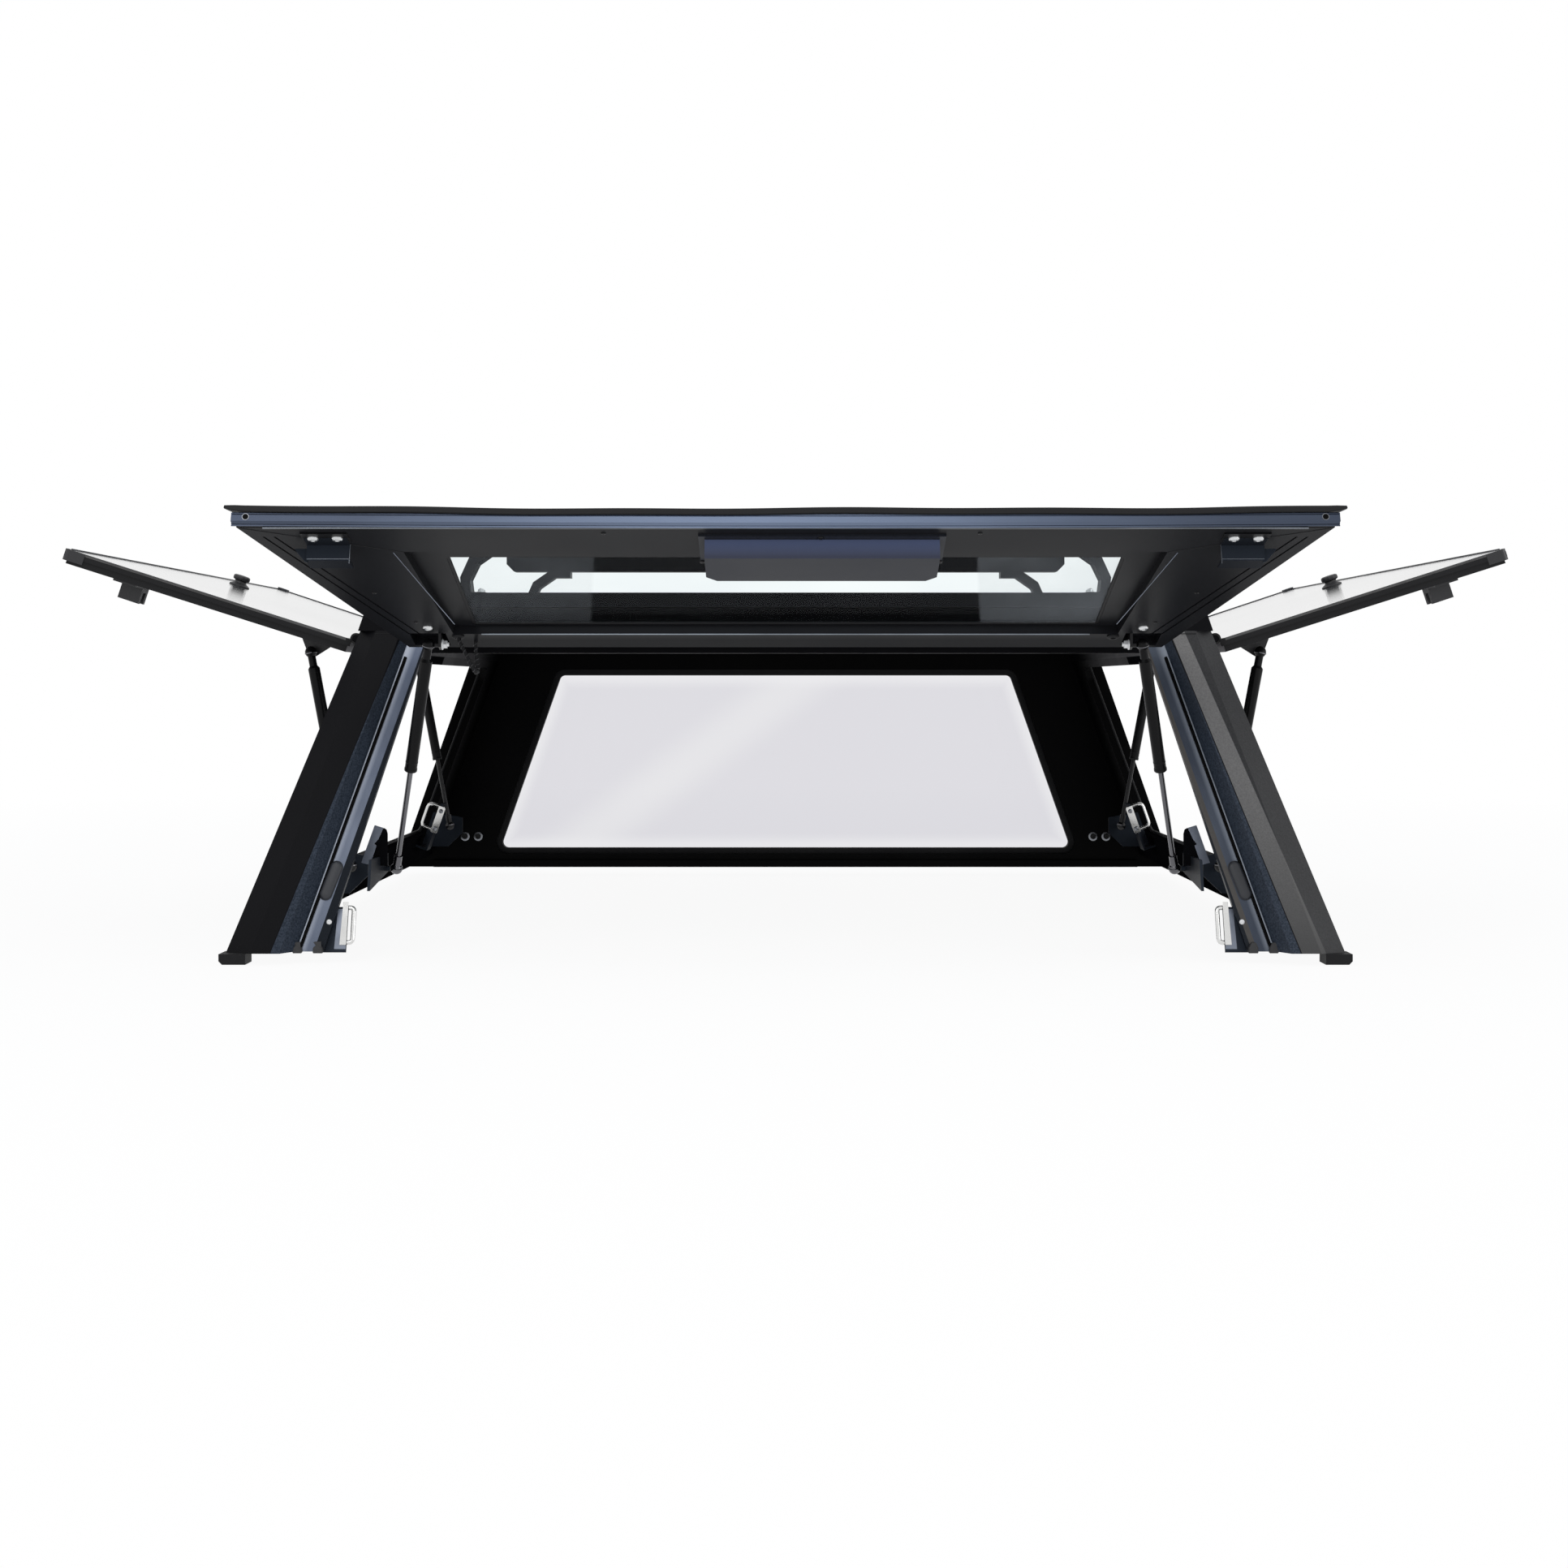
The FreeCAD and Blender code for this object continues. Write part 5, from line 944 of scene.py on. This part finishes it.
def striker_bases():
    """Bright base plates under the strikers' wires, with their screws."""
    plates, heads, faces, bolts = [], [], [], []
    base = [(0.3030, -0.0670), (0.3030, -0.0785), (0.3050, -0.0805), (0.3550, -0.0805), (0.3570, -0.0785),
            (0.3570, -0.0670)]
    for _, sign in SIDES:
        for y in STRIKER_Y:
            a = y - 0.0255
            plates.append(prism([closed_side(sign, s, a, n) for s, n in base], (0, 0.002, 0)))
            for s in (0.312, 0.348):
                heads.append(pan_head(closed_side(sign, s, a, -0.0738), BACK, 0.0044, 0.0022))
    for _, sign in SIDES:
        for low, high, near, far, top, group in ((0.002, 0.058, 0.6335, 0.6500, 0.0386, faces),
                                                 (0.008, 0.068, 0.6330, 0.6425, 0.0372, plates)):
            corners = ((near, low), (far, low), (far - 0.002, high), (near, high))
            group.append(prism([(sign * x, tail_y(z) + top, z) for x, z in corners], (0, 0.0012, 0)))
        z = 0.041
        bolts.append(pan_head((sign * (skin_x(z) - 0.1285), tail_y(z) + 0.027, z), BACK, 0.0040, 0.0020))
    # The striker faces are drawn in the pale painted sheen.
    piece("striker_faces", faces, PALE_SHEEN, "root", bevel=0.0003)
    piece("striker_bases", plates, CHROME, "root", bevel=0.0004)
    piece("striker_base_screws", heads, STEEL, "root", smooth=True)
    piece("post_bolts", bolts, PALE, "root", smooth=True)


def cable():
    """A black lead with a spiral wrap that hangs in a loop under the door's left grommet."""
    start = rear(-0.475, 0.071, REAR_UNDER - 0.001)
    route = [start, (-0.4740, -1.4556, 0.4468), (-0.4645, -1.4560, 0.4290), (-0.4550, -1.4560, 0.4085),
             (-0.4510, -1.4492, 0.4005), (-0.4495, -1.4390, 0.4005), (-0.4505, -1.4320, 0.4085),
             (-0.4525, -1.4318, 0.4280), rear(-0.4530, 0.047, REAR_UNDER)]
    data = bpy.data.curves.new("door_lead", "CURVE")
    data.dimensions = "3D"
    data.resolution_u = 24
    line = data.splines.new("NURBS")
    line.points.add(len(route) - 1)
    for point, place in zip(line.points, route):
        point.co = (*place, 1.0)
    line.order_u = 3
    line.use_endpoint_u = True
    lead = placed("door_lead", data)
    bare = bpy.data.meshes.new_from_object(lead)
    points = [v.co.copy() for v in bare.vertices]
    bpy.data.meshes.remove(bare)
    data.bevel_depth = 0.0024
    data.bevel_resolution = 3
    data.materials.append(RUBBER)
    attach(lead, "rear_door")
    length = sum((b - a).length for a, b in zip(points, points[1:]))
    coil, run, turns = [], 0.0, 15
    for i, point in enumerate(points):
        after = points[min(i + 1, len(points) - 1)]
        before = points[max(i - 1, 0)]
        way = (after - before).normalized()
        across = way.cross(Vector((1, 0, 0.2))).normalized()
        other = way.cross(across)
        a = 2 * math.pi * turns * run / length
        coil.append(point + (across * math.cos(a) + other * math.sin(a)) * 0.0026)
        run += (after - point).length
    wrap = piece("lead_wrap", [swept(coil, round_section(0.0008, 6), (0.3, 0.2, 1))], PLASTIC,
                 "rear_door", smooth=True)


# The rack's small parts

def rack_trims():
    bar_y, crown_z = (-1.231, -0.381), 0.520
    heads, pads = [], []
    for _, sign in SIDES:
        for y in bar_y:
            for out in (-0.011, 0.011):
                heads += hex_nut((sign * 0.472, y + out, crown_z + 0.006), (0, 0, 1), 0.0045, 0.0045)
            heads.append(pan_head((sign * 0.458, y, crown_z + 0.070), (0, 0, -1), 0.006, 0.0035))
    piece("rack_bolts", heads, ZINC, "root", smooth=True)
    for y in bar_y:
        pads.append(block((-0.50, y - 0.006, crown_z + 0.110), (1.0, 0, 0), (0, 0.012, 0), (0, 0, 0.0012)))
    piece("bar_strips", pads, RUBBER, "root", bevel=0.0004)


# The setting

def make_camera():
    data = bpy.data.cameras.new("photo_camera")
    data.lens = CAMERA_LENS
    data.sensor_width = SENSOR
    data.shift_x = SHIFT_X
    data.shift_y = SHIFT_Y
    camera = placed("photo_camera", data)
    camera.location = CAMERA_PLACE
    camera.rotation_euler = (math.radians(90), 0, 0)
    bpy.context.scene.camera = camera


def backdrop_material():
    """White wherever the camera, a reflection or a pane looks at it, with the object's soft shadow."""
    made, net = material("backdrop")
    length = net.part("VectorMath")
    length.operation = "LENGTH"
    net.feed(length.inputs[0], net.part("TexCoord").outputs["Object"])
    fade = net.ramp(length.outputs["Value"], 1.5, 4.0, 0.93, 1.0)
    plain = net.part("BsdfDiffuse", Color=(0.90, 0.90, 0.90))
    net.show(net.blend(net.times(net.seen(), fade), plain, net.part("Emission", Strength=1.0)))
    return made


def make_stage():
    mesh = bpy.data.meshes.new("floor")
    reach = 9.0
    corners = [(-reach, -reach, 0), (reach, -reach, 0), (reach, reach, 0), (-reach, reach, 0)]
    mesh.from_pydata(corners, [], [(0, 1, 2, 3)])
    mesh.materials.append(backdrop_material())
    floor = placed("floor", mesh)
    floor.location.z = box_before[0][2] - 0.002


def area_light(name, place, target, energy, size):
    data = bpy.data.lights.new(name, "AREA")
    data.energy = energy
    data.size = size
    made = placed(name, data)
    made.location = place
    made.rotation_euler = (Vector(target) - Vector(place)).to_track_quat("-Z", "Y").to_euler()


def make_lights():
    world = bpy.data.worlds.new("studio")
    bpy.context.scene.world = world
    world.use_nodes = True
    net = Net(world.node_tree)
    soft = net.mix(net.seen(), (0.72, 0.74, 0.78), (1.0, 1.0, 1.0))
    net.give(world.node_tree.nodes["Background"], Color=soft, Strength=1.0)
    area_light("key", (-1.2, -4.2, 3.4), (0, -0.9, 0.3), 40, 2.6)
    area_light("right_fill", (3.6, -2.6, 1.2), (0.5, -1.2, 0.3), 26, 1.8)


dress_nodes()
lip()
rear_fasteners()
rear_joins()
grommets()
opening_seals()
shell_fasteners()
post_caps()
strut_trims()
side_trims()
side_mounts()
knobs()
domed_plugs()
rail_face()
post_brackets()
striker_loops()
striker_bases()
cable()
rack_trims()
make_camera()
make_stage()
make_lights()

bpy.context.scene.view_settings.view_transform = "Standard"
